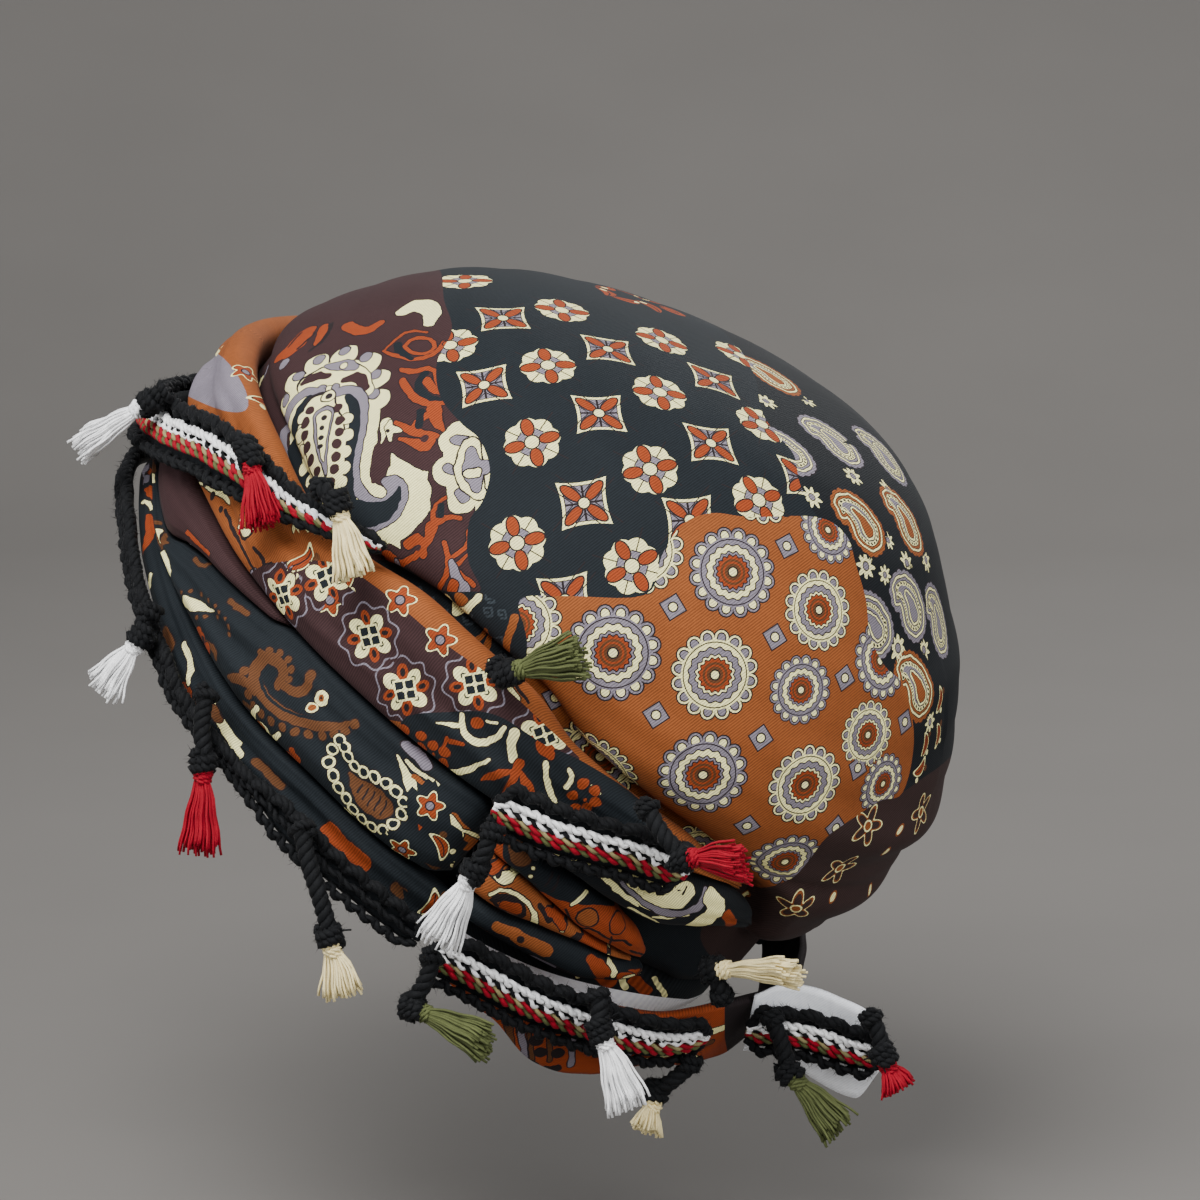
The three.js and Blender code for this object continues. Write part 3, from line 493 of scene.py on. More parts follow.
# Cloth shells: points in the world's millimetres, triangles, and which triangles show the back of the print
def grid_faces(rings, sides, closed_along=False, closed_round=True):
    """Two triangles for each cell of a grid of rings."""
    rows = np.arange(rings if closed_along else rings - 1)[:, None]
    cells = np.arange(sides if closed_round else sides - 1)[None, :]
    a = rows * sides + cells
    b = rows * sides + (cells + 1) % sides
    c = (rows + 1) % rings * sides + (cells + 1) % sides
    d = (rows + 1) % rings * sides + cells
    return np.concatenate([np.stack([a, b, c], -1).reshape(-1, 3), np.stack([a, c, d], -1).reshape(-1, 3)])


def closed_shell(rings, closed_along=False):
    """A closed body skinned through rings of points, with its two ends fanned shut."""
    count, sides = rings.shape[:2]
    points = rings.reshape(-1, 3)
    faces = grid_faces(count, sides, closed_along)
    if not closed_along:
        first, last = len(points), len(points) + 1
        points = np.concatenate([points, rings[:1].mean(1), rings[-1:].mean(1)])
        edge = np.arange(sides)
        following = (edge + 1) % sides
        end = (count - 1) * sides
        faces = np.concatenate([
            faces, np.stack([following, edge, edge * 0 + first], -1),
            np.stack([end + edge, end + following, edge * 0 + last], -1)])
    corners = points[faces]
    volume = (corners[:, 0] * np.cross(corners[:, 1], corners[:, 2])).sum()
    return points, faces if volume > 0 else faces[:, ::-1]


def ripples(count, low, high, seed):
    """A soft unevenness along one direction: a few waves of random length and place."""
    source = random.Random(seed)
    return [(source.uniform(low, high), source.uniform(0, math.tau), source.uniform(0.5, 1))
            for _ in range(count)]


def uneven(waves, place):
    return sum(size * np.sin(place * rate + start) for rate, start, size in waves) / len(waves)


CROWN_STATIONS = 400
OUTSIDE_RISES = np.concatenate([np.linspace(0, 1, 12)[:-1], np.linspace(1, 2, 118)])
INSIDE_RISES = np.concatenate([[0.05, 0.999], np.linspace(1.03, 2, 34)])
PUCKERS = ripples(7, 7, 23, 3)
PUCKER_HEIGHT = 1.3
PUCKER_REACH = 9
SAGS = ripples(5, 1.5, 5, 5)
FLARE_RISE = 0.15
TOP_RISE = 0.5
CROWN_UP = CROWN_ROWS["up"][-1]


def crown_outside(at, rise):
    """The crown's outer face: tucked in behind the wound cloth, then flaring over it, with its folds."""
    at, rise = np.broadcast_arrays(at, rise)
    tuck = between(TUCK_ROWS, "at", at, "up")
    hem = between(TUCK_ROWS, "at", at, "hem")
    up = tuck + (CROWN_UP - tuck) * (rise - 1)
    flare = np.clip((up - tuck) / between(TUCK_ROWS, "at", at, "flare"), 0, 1)
    ease = np.sqrt(1 - (1 - flare) ** 2)[..., None]
    turn = np.radians(at)
    front, back, side = (between(CROWN_ROWS, "up", up, name) for name in ("front", "back", "side"))
    wall = np.stack([side * np.sin(turn), (back - front) / 2 + (back + front) / 2 * np.cos(turn), up], -1)
    ridge = PUCKER_HEIGHT * uneven(PUCKERS, turn) * np.exp(-np.maximum(up - tuck, 0) / PUCKER_REACH)
    ridge = ridge + 0.5 * uneven(SAGS, turn * 2 + up * 0.05) * np.clip((CROWN_UP - up) / 30, 0, 1)
    for fold in CROWN_FOLDS:
        round_ = (at - fold["at"] + 540) % 360 - 180
        across = (up - fold["up"]) / fold["width"]
        ridge = ridge + fold["height"] * np.exp(-across ** 2 - (round_ / fold["reach"]) ** 2)
    wall = wall + outward(at) * ridge[..., None]
    worn = on_head(at, up, HEM_OUTER) * (1 - ease) + wall * ease
    return np.where((rise < 1)[..., None], on_head(at, hem + (tuck - hem) * rise, HEM_OUTER), worn)


def crown_inside(at, rise):
    """The inner face: the outer one moved in by the wall, and up or down where the cloth leans."""
    outside = crown_outside(at, rise)
    at, rise = np.broadcast_arrays(at, rise)
    inside = outside - outward(at) * CROWN_WALL
    lift = np.maximum(0, 1 - (rise - 1) / FLARE_RISE) - np.maximum(0, 1 - (2 - rise) / TOP_RISE)
    inside[..., 2] += CROWN_WALL * lift
    return np.where((rise < 1)[..., None], on_head(at, outside[..., 2], HEM_INNER), inside)


def crown_shell():
    at = np.arange(CROWN_STATIONS)[None, :] * 360 / CROWN_STATIONS
    inside = crown_inside(at, INSIDE_RISES[::-1, None])
    outside = crown_outside(at, OUTSIDE_RISES[:, None])
    hem = on_head(at, outside[:1, :, 2], HEM_INNER)
    top = np.array(CROWN_TOP) + np.zeros_like(hem)
    rings = np.concatenate([top - (0, 0, CROWN_WALL), inside, hem, outside, top])
    points = rings.reshape(-1, 3)
    faces = grid_faces(len(rings), CROWN_STATIONS)
    corners = points[faces]
    if (corners[:, 0] * np.cross(corners[:, 1], corners[:, 2])).sum() < 0:
        faces = faces[:, ::-1]
    reverse = (faces < (len(inside) + 2) * CROWN_STATIONS).all(1)
    return to_world(points), faces, reverse


ROLL_SQUARENESS = 2.6
CREASE = 0.9


def roll_shell(rows, stations, sides, pleats=(), seed=1, bulge=0.5):
    """A wound turn: a flattened roll between its two edges, with pleats where its layers overlap.
    A pleat runs from (at, share) to (at, share), where a share of -1 is the low edge and 1 the high one."""
    places = np.linspace(rows["at"][0], rows["at"][-1], stations + 1)
    low, high, out = (between(rows, "at", places, name)[:, None] for name in ("low", "high", "out"))
    at = places[:, None]
    turn = (np.arange(sides)[None, :] + 0.5) / sides * math.tau
    across = np.sign(np.sin(turn)) * abs(np.sin(turn)) ** (2 / ROLL_SQUARENESS)
    outside = np.sign(np.cos(turn)) * abs(np.cos(turn)) ** (2 / ROLL_SQUARENESS)
    facing = np.clip(outside * 3, 0, 1)
    depth = 0
    for at0, share0, at1, share1, step, width in pleats:
        t = (at - at0) / (at1 - at0)
        apart = across - (share0 + (share1 - share0) * np.clip(t, 0, 1))
        live = np.clip(t * 6, 0, 1) * np.clip((1 - t) * 6, 0, 1)
        layer = np.where(apart > 0, np.exp(-apart / width), np.exp(apart / 0.05))
        depth = depth + step * live * layer
    waves = ripples(5, 0.1, 0.45, seed)
    depth = depth + bulge * uneven(waves, at + across * 6)
    creases = ripples(6, 5, 19, seed + 40)
    depth = depth + CREASE * uneven(creases, across + 0.25 * uneven(ripples(4, 0.05, 0.16, seed + 80), at))
    reach = WRAP_INNER + (out - WRAP_INNER) * (1 + outside) / 2 - depth * facing
    rings = on_head(at, low + (high - low) * (1 + across) / 2, np.maximum(reach, WRAP_INNER))
    points, faces = closed_shell(rings)
    return to_world(points), faces, np.zeros(len(faces), bool)


def tail_shell(stations=150):
    """The cloth's end along the rim: a thin wall, a little bowed across its height."""
    places = np.linspace(TAIL_ROWS["at"][0], TAIL_ROWS["at"][-1], stations + 1)[:, None]
    low, high, out = (between(TAIL_ROWS, "at", places, name) for name in ("low", "high", "out"))
    share = np.linspace(0, 1, 22)[None, :]
    bow = (2 * share - 1) ** 2 + 0.35 * uneven(ripples(4, 0.2, 0.7, 9), places + share * 9)
    front = on_head(places, low + (high - low) * share, out - bow)
    back = on_head(places, low + (high - low) * share[:, ::-1], out - bow[:, ::-1] - TAIL_WALL)
    points, faces = closed_shell(np.concatenate([front, back], 1))
    return to_world(points), faces, np.zeros(len(faces), bool)


def lining_shell(stations=240):
    at = np.arange(stations)[:, None] * 360 / stations
    low = between(LINING_ROWS, "at", at, "low")
    share = np.linspace(0, 1, 16)[None, :]
    pucker = 0.25 * uneven(ripples(6, 9, 30, 11), np.radians(at)) * (1 - share)
    out = on_head(at, low + (LINING_HEIGHT - low) * share, LINING_WALL + 0 * pucker)
    inside = on_head(at, low + (LINING_HEIGHT - low) * share[:, ::-1], -0.2 + pucker[:, ::-1] * 0.8)
    points, faces = closed_shell(np.concatenate([out, inside], 1), closed_along=True)
    inner = (faces % (2 * share.size)).min(1) >= share.size
    return to_world(points), faces, inner


def free_places(share):
    """The line of the free end behind the back, with how far its white reverse reaches each way."""
    rows = dict(FREE_END)
    rows["step"] = np.arange(len(rows["x"]), dtype=float)
    step = np.asarray(share) * rows["step"][-1]
    return {name: between(rows, "step", step, name) for name in ("x", "y", "up", "low", "high")}


def flap_shell(stations=40):
    places = free_places(np.linspace(0, 1, stations + 1))
    line = np.stack([places["x"], places["y"], places["up"]], -1)
    normal = unit(FREE_NORMAL)
    across = unit(np.cross(normal, np.gradient(line, axis=0)))
    across = across * np.sign(across[:, 2:])
    share = np.linspace(0, 1, 12)
    side = -places["low"][:, None] + (places["low"] + places["high"])[:, None] * share
    curl = 0.3 + 0.3 * np.sin(share * 7 + np.linspace(0, 5, stations + 1)[:, None])
    sheet = line[:, None] + across[:, None] * side[..., None]
    front = sheet - normal * (CLOTH_GAP + curl)[..., None]
    back = (sheet - normal * (CLOTH_GAP + curl + FLAP_WALL - 0.4)[..., None])[:, ::-1]
    points, faces = closed_shell(np.concatenate([front, back], 1))
    return to_world(points), faces, np.zeros(len(faces), bool)


# Prints: outlines in the photograph's pixels, cut into the cloth
def smooth_outline(corners, steps=5):
    """A closed curve through its corners."""
    corners = np.array(corners, float)
    a, b, c, d = (np.roll(corners, k, 0)[:, None] for k in (1, 0, -1, -2))
    t = np.linspace(0, 1, steps, endpoint=False)[None, :, None]
    curve = (b + (c - a) * t / 2 + (a - 2.5 * b + 2 * c - d / 2) * t ** 2
             + (1.5 * (b - c) + (d - a) / 2) * t ** 3)
    return curve.reshape(-1, 2)


def outside_by(outline, places):
    """How far each place is outside a closed outline, below zero within it."""
    start, end = outline, np.roll(outline, -1, 0)
    nearest = np.full(len(places), 1e9)
    inside = np.zeros(len(places), bool)
    for a, b in zip(start, end):
        line, away = b - a, places - a
        share = np.clip(away @ line / max(line @ line, 1e-9), 0, 1)
        nearest = np.minimum(nearest, ((away - share[:, None] * line) ** 2).sum(1))
        crosses = (a[1] > places[:, 1]) != (b[1] > places[:, 1])
        x = a[0] + (places[:, 1] - a[1]) * line[0] / (line[1] or 1e-9)
        inside ^= crosses & (places[:, 0] < x)
    return np.sqrt(nearest) * np.where(inside, -1, 1)


def cut(points, faces, marks, edge):
    """Triangles cut along the line where edge is zero. marks follow their faces."""
    edge = np.where(abs(edge) < 1e-3, 1e-3, edge)
    outside = edge[faces] > 0
    count = outside.sum(1)
    whole = (count == 0) | (count == 3)
    split, split_marks, lone = faces[~whole], marks[~whole], outside[~whole]
    odd = np.where((lone.sum(1) == 1)[:, None], lone, ~lone).argmax(1)
    rows = np.arange(len(split))
    a, b, c = (split[rows, (odd + k) % 3] for k in range(3))
    pairs = np.sort(np.concatenate([np.stack([a, b], 1), np.stack([a, c], 1)]), 1)
    unique, place = np.unique(pairs, axis=0, return_inverse=True)
    place = place.reshape(-1)
    near, far = edge[unique[:, 0]], edge[unique[:, 1]]
    share = (near / (near - far))[:, None]
    fresh = points[unique[:, 0]] * (1 - share) + points[unique[:, 1]] * share
    ab = len(points) + place[:len(split)]
    ac = len(points) + place[len(split):]
    faces = np.concatenate([faces[whole], np.stack([a, ab, ac], 1), np.stack([ab, b, c], 1),
        np.stack([ab, c, ac], 1)])
    marks = np.concatenate([marks[whole], split_marks, split_marks, split_marks])
    return np.concatenate([points, fresh]), faces, marks


STAMP_MARGIN = 2.2
TILE = 24
TILE_MARGIN = 1.2
MOST_DRAWN_OUT = 2.2


def stroke_pieces(stroke, patch):
    """A brush stroke in the photograph as rounded straight pieces on the cloth. A piece that the cloth's
    slant would draw out long is left off; a lone spot stays as it is."""
    stroke = rounded(stroke)
    placed = [(*patch.from_photo(x, y), width) for x, y, width in stroke]
    pairs = zip(stroke, stroke[1:], placed, placed[1:])
    return [[start, end] for a, b, start, end in pairs
            if math.dist(start[:2], end[:2]) < MOST_DRAWN_OUT * math.dist(a[:2], b[:2]) / PHOTO_SCALE + 0.5
            ] if len(stroke) > 1 else [placed]


def print_cloth(name, shell, ground, zones=(), stamps=(), art=(), anchor=None, reverse="reverse_of_print"):
    """One cloth piece: its shell cut along each zone's outline, each zone and stamp with its own print.
    A zone is (ground, outline, art); a stamp is (motif, pixel x, pixel y, turn) on the ground round it."""
    points, faces, behind = shell
    surface = BVHTree.FromPolygons(points.tolist(), faces.tolist())
    zones = [(ground, None, art)] + list(zones)
    marks = np.where(behind, -1, 0)
    for number, (_, outline, _) in enumerate(zones):
        if outline is None:
            continue
        curve = smooth_outline(outline)
        pixels = photo(near_side(points))
        low, high = curve.min(0) - 40, curve.max(0) + 40
        close = ((pixels > low) & (pixels < high)).all(1)
        edge = np.full(len(points), 99.0)
        edge[close] = outside_by(curve, pixels[close])
        points, faces, marks = cut(points, faces, marks, edge)
        pixels = photo(near_side(points[faces].mean(1)))
        close = ((pixels > low) & (pixels < high)).all(1)
        inside = np.zeros(len(faces), bool)
        inside[close] = outside_by(curve, pixels[close]) < 0
        marks[inside & (marks >= 0)] = number
    shown = near_side(points)
    middles = shown[faces].mean(1)
    materials, used, motif = [], np.zeros(len(faces), int), np.zeros((len(faces), 3, 2))

    def take(material, where, patch):
        if material.name not in [m.name for m in materials]:
            materials.append(material)
        used[where] = [m.name for m in materials].index(material.name)
        motif[where] = patch.flat(shown[faces[where]])

    for number, (zone_ground, outline, zone_art) in enumerate(zones):
        where = marks == number
        if not where.any():
            continue
        corners = np.array(outline if outline is not None else [anchor or (600, 560)])
        patch = Patch(surface, tuple(corners.mean(0)))
        take(printed_twill(f"twill_{zone_ground}", zone_ground, ()), where, patch)
        segments = [(shade, piece) for shade, strokes in zone_art for stroke in strokes
                    for piece in stroke_pieces(stroke, patch)]
        flat = patch.flat(shown[faces[where]])
        cells = np.floor(flat.mean(1) / TILE).astype(int)
        for cell in np.unique(cells, axis=0) if segments else ():
            chosen = (cells == cell).all(1)
            low, high = flat[chosen].min((0, 1)) - TILE_MARGIN, flat[chosen].max((0, 1)) + TILE_MARGIN
            near = [(shade, piece) for shade, piece in segments if all(
                max(spot[k] + spot[2] for spot in piece) > low[k]
                and min(spot[k] - spot[2] for spot in piece) < high[k]
                for k in (0, 1))]
            layers = [(shade, [piece for _, piece in run])
                      for shade, run in itertools.groupby(near, lambda n: n[0])]
            if layers:
                label = f"twill_{name}_{number}_{cell[0]}_{cell[1]}"
                take(printed_twill(label, zone_ground, layers), np.flatnonzero(where)[chosen], patch)
    if (marks < 0).any():
        take(printed_twill(reverse, "umber" if reverse != "lining_cotton" else "lining", ()), marks < 0,
             Patch(surface, (600, 560)))
    patches = [Patch(surface, (x, y), turn, size) for _, x, y, turn, size in stamps]
    if patches:
        reach = np.array([MOTIFS[stamp[0]][0] * stamp[4] for stamp in stamps])
        spots = np.array([patch.spot for patch in patches])
        apart = np.linalg.norm(middles[:, None] - spots[None], axis=-1) - reach
        for zone, (zone_ground, _, _) in enumerate(zones):
            allowed = [k for k, stamp in enumerate(stamps) if MOTIFS[stamp[0]][2] in (None, zone_ground)]
            if not allowed or not (marks == zone).any():
                continue
            nearest = np.array(allowed)[apart[:, allowed].argmin(1)]
            close = (apart[np.arange(len(faces)), nearest] < STAMP_MARGIN) & (marks == zone)
            for number in np.unique(nearest[close]):
                motif_name = stamps[number][0]
                material = printed_twill(f"twill_{zone_ground}_{motif_name}", zone_ground,
                    MOTIFS[motif_name][1])
                take(material, close & (nearest == number), patches[number])
    cloth = Patch(surface, anchor or (600, 560)).flat(shown)[faces]
    return mesh_piece(name, points, faces, materials, used, {"motif": motif, "cloth": cloth})


def mesh_piece(name, points, faces, materials, used=None, maps=None):
    """A finished object at the origin from points in millimetres, with doubles merged and faces outward."""
    _, first, place = np.unique(np.round(points, 3), axis=0, return_index=True, return_inverse=True)
    faces = place.reshape(-1)[faces]
    kept = (faces[:, 0] != faces[:, 1]) & (faces[:, 1] != faces[:, 2]) & (faces[:, 2] != faces[:, 0])
    faces = faces[kept]
    mesh = bpy.data.meshes.new(name)
    mesh.from_pydata((points[first] * MM).tolist(), [], faces.tolist())
    mesh.polygons.foreach_set("use_smooth", [True] * len(faces))
    for material in materials:
        mesh.materials.append(material)
    if used is not None:
        mesh.polygons.foreach_set("material_index", used[kept].astype(np.int32))
    for label, values in (maps or {}).items():
        layer = mesh.uv_layers.new(name=label)
        layer.uv.foreach_set("vector", values[kept].reshape(-1).astype(np.float32))
    mesh.update()
    piece = bpy.data.objects.new(name, mesh)
    bpy.context.scene.collection.objects.link(piece)
    return piece


# Figures of the print as brush strokes: rows of (pixel x, pixel y, half width in millimetres)
def dots(half_width, *places):
    """Lone spots of one size."""
    return [[(x, y, half_width)] for x, y in places]


MAROON_ART = [
    ("cream", [[(330, 397, 14.4), (327, 436, 16.1), (329, 472, 12.4), (343, 499, 9.4), (375, 515, 7.4),
        (404, 509, 7.4), (416, 486, 5), (402, 472, 3.7)], [(287, 400, 3)], [(297, 379, 3.4)],
        [(319, 362, 3.7)], [(347, 354, 4)], [(371, 361, 3.6)], [(382, 376, 3.1)], [(381, 397, 3.3)],
        [(388, 420, 1.5), (384, 440, 0.2)], [(402, 468, 3), (394, 452, 0.2)], [(420, 477, 3),
        (430, 470, 0.2)], [(420, 500, 4), (431, 508, 0.2)], [(391, 527, 4), (402, 545, 0.2)]]),
    ("maroon", [[(381, 445, 1.5), (378, 463, 1.6), (375, 479, 0.7)]]),
    ("lavender", [*dots(1.7, (287, 397), (301, 374), (321, 358), (347, 349), (368, 355), (378, 372),
        (376, 392))]),
    ("ink", [[(309, 382, 3.3), (330, 371, 4.2), (357, 372, 4.4), (366, 388, 3)]]),
    ("cream", [[(310, 383, 3.1), (330, 372, 4), (357, 373, 4.2), (366, 388, 2.8)]]),
    ("maroon", [[(304, 382, 0.8), (317, 374, 1.9), (330, 374, 1.1)], [(347, 378, 1.1), (361, 374, 2.1),
        (368, 385, 1.3)]]),
    ("lavender", [[(329, 364, 0.6), (339, 365, 1.6), (350, 362, 2), (357, 365, 1.1)], *dots(1.2, (324, 386),
        (338, 385))]),
    ("cream", [[(346, 364, 1.1)]]),
    ("lavender", [[(323, 390, 1.4), (304, 390, 1.5), (288, 409, 1.5), (284, 438, 1.5), (288, 463, 1.5),
        (304, 490, 1.5), (314, 500, 1.3)], [(338, 391, 1.4), (350, 387, 1.4), (364, 391, 1.5),
        (366, 413, 1.5), (359, 445, 1.5), (355, 472, 1.5), (362, 492, 1.5), (378, 503, 1.5),
        (391, 499, 1.4), (396, 488, 1.3), (388, 479, 1.1)], [(388, 479, 1.1), (399, 477, 1.3),
        (407, 490, 1.4), (400, 509, 1.5), (382, 523, 1.5), (361, 525, 1.4), (336, 515, 1.3)]]),
    ("navy", [[(312, 396, 1.1), (298, 413, 1.9), (293, 438, 2.1), (299, 466, 2.2), (314, 491, 2.2),
        (330, 504, 3), (357, 511, 3.6), (382, 512, 3.3), (397, 500, 1.8), (401, 486, 0.6)],
        [(350, 395, 1.3), (358, 404, 1.6), (356, 431, 1.8), (349, 456, 1.9), (347, 481, 2.3),
        (350, 502, 2.6)]]),
    ("ink", [[(321, 404, 5), (325, 436, 7.4), (329, 472, 5.4), (334, 488, 3)]]),
    ("cream", [[(321, 406, 4.6), (325, 436, 6.9), (329, 472, 4.9), (334, 486, 2.6)], *dots(1.8, (304, 415),
        (301, 432), (302, 449), (305, 466), (312, 479), (349, 416), (350, 432), (347, 449), (346, 465),
        (343, 479))]),
    ("maroon", [*dots(1.5, (312, 408), (307, 420), (306, 432), (308, 444), (312, 457), (318, 469),
        (340, 406), (342, 418), (341, 430), (339, 442), (338, 454), (336, 466)), [(326, 480, 1.3),
        (333, 479, 1.3)]]),
    ("ink", [[(326, 413, 3.3), (323, 436, 2.6), (327, 472, 0.6)]]),
    ("lavender", [[(326, 413, 2.9), (323, 436, 2.2), (327, 470, 0.4)]]),
    ("cream", [[(326, 415, 2.1), (324, 436, 1.3), (325, 458, 0.2)]]),
    ("ink", [*dots(0.8, (326, 415), (324, 425), (323, 435), (322, 444)), [(331, 394, 2.3)]]),
    ("cream", [[(331, 394, 1.9)]]),
    ("ink", [[(331, 394, 1.1)]]),
    ("brick", [[(386, 349, 0.3), (400, 336, 0.5), (411, 328, 0.5), (429, 331, 0.4)], [(386, 349, 0.5),
        (402, 356, 0.6), (420, 358, 0.6), (439, 352, 0.7), (446, 341, 0.7)], [(407, 345, 0.6),
        (414, 336, 0.6), (429, 336, 0.6), (439, 343, 0.6), (432, 352, 0.6), (416, 352, 0.6),
        (407, 345, 0.6)], [(404, 368, 0.9), (416, 370, 0.9), (436, 365, 0.7), (439, 379, 0.7),
        (445, 391, 0.7)], [(405, 379, 1), (411, 390, 1.1), (421, 400, 1.1), (439, 401, 0.8),
        (461, 400, 0.5)], [(429, 379, 1.3), (436, 388, 1), (445, 391, 0.5)], [(436, 406, 2),
        (439, 420, 1.7), (445, 427, 0.6)], [(429, 413, 1), (416, 422, 0.8), (418, 427, 0.7)],
        [(398, 420, 0.7), (409, 427, 1.2), (421, 431, 1.3), (438, 434, 0.9)], [(402, 436, 0.5),
        (416, 440, 1.1), (427, 445, 1.8), (434, 438, 1.1)], [(448, 495, 0.5), (434, 504, 0.6),
        (436, 522, 0.9), (450, 513, 0.7), (462, 516, 0.6)], [(434, 524, 1.5), (430, 541, 1.3),
        (411, 559, 0.7), (386, 561, 0.5)], [(411, 541, 1.5), (421, 534, 1.5), (425, 552, 1)],
        [(446, 540, 0.6), (452, 558, 0.8), (446, 577, 0.7), (439, 586, 0.5)], [(455, 554, 0.6),
        (470, 543, 0.6), (471, 527, 0.5)], [(459, 563, 0.5), (471, 552, 0.4)], [(461, 570, 0.7),
        (475, 582, 0.6)], [(382, 550, 1.3), (393, 556, 1.5), (402, 565, 1)]]),
    ("navy", [[(400, 343, 1.2), (402, 350, 1.4), (414, 357, 0.5)], [(427, 372, 1.1), (418, 384, 1.3),
        (430, 395, 1.1), (443, 397, 0.6)], [(423, 409, 1.1), (421, 424, 1)], [(443, 504, 1.1),
        (443, 513, 0.8)]]),
    ("maroon", [*dots(1.2, (427, 436), (446, 525), (445, 531)), [(420, 545, 0.8)]]),
    ("lavender", [[(454, 559, 0.7), (457, 574, 1.5), (464, 588, 2.2)], [(397, 560, 1)], [(286, 361, 1.7)]]),
    ("brick", [[(455, 582, 1.5), (452, 593, 1.5)], [(309, 331, 3), (295, 347, 3.5), (279, 356, 1.5)],
        [(327, 325, 1.5), (321, 340, 1.5)], [(268, 379, 1.3), (279, 374, 1.1)], [(270, 399, 1.5),
        (280, 395, 1)], [(264, 416, 1)], [(350, 324, 2), (366, 331, 2), (382, 322, 1.5)]]),
    ("ink", [[(334, 322, 0.8), (329, 336, 0.7), (312, 349, 0.5)], [(318, 331, 0.4), (300, 347, 0.4)],
        [(304, 331, 0.4), (291, 345, 0.4)]]),
    ("lavender", [[(257, 363, 0.4), (271, 360, 0.4), (267, 372, 0.4), (261, 382, 0.4), (254, 395, 0.4)],
        [(250, 409, 0.3), (259, 408, 0.3)]]),
    ("cream", [[(264, 375, 0.7), (259, 388, 0.6)], [(255, 413, 0.7), (257, 434, 0.7)]]),
    ("cream", [[(468, 425, 1), (477, 443, 2), (489, 468, 2), (484, 499, 2), (479, 515, 0.5)],
        [(455, 438, 3.9)], [(451, 468, 4.4)], [(464, 497, 3.9)], [(462, 434, 4.5), (466, 491, 4.5)]]),
    ("lavender", [[(458, 437, 1.3), (467, 439, 1.3)], [(450, 466, 1.3), (457, 468, 1.2)], [(462, 490, 1.3),
        (466, 496, 1.3)]]),
    ("ink", [[(473, 445, 3.2), (470, 472, 4.6), (480, 490, 2.5)]]),
    ("cream", [[(473, 445, 2.7), (470, 472, 4.1), (480, 490, 2.1)]]),
    ("lavender", [[(473, 450, 1.3), (475, 468, 3.1), (479, 486, 1.3)], [(486, 465, 2)]]),
    ("ink", [[(471, 471, 1.7), (480, 470, 1.5)]]),
    ("cream", [[(471, 471, 1.3), (480, 470, 1.1)]]),
    ("cream", [[(392, 419, 0.4), (391, 427, 1.3), (393, 438, 0.4)], [(393, 427, 1.2), (403, 429, 0.3)]]),
    ("ink", [[(390, 429, 0.6)]]),
    ("cream", [[(432, 322, 1.5), (436, 309, 3), (421, 302, 3.5), (407, 309, 2.5)], [(461, 334, 1),
        (455, 347, 2.3), (450, 356, 0.8)]]),
    ("brick", [[(448, 342, 0.8), (461, 343, 0.8)]]),
]
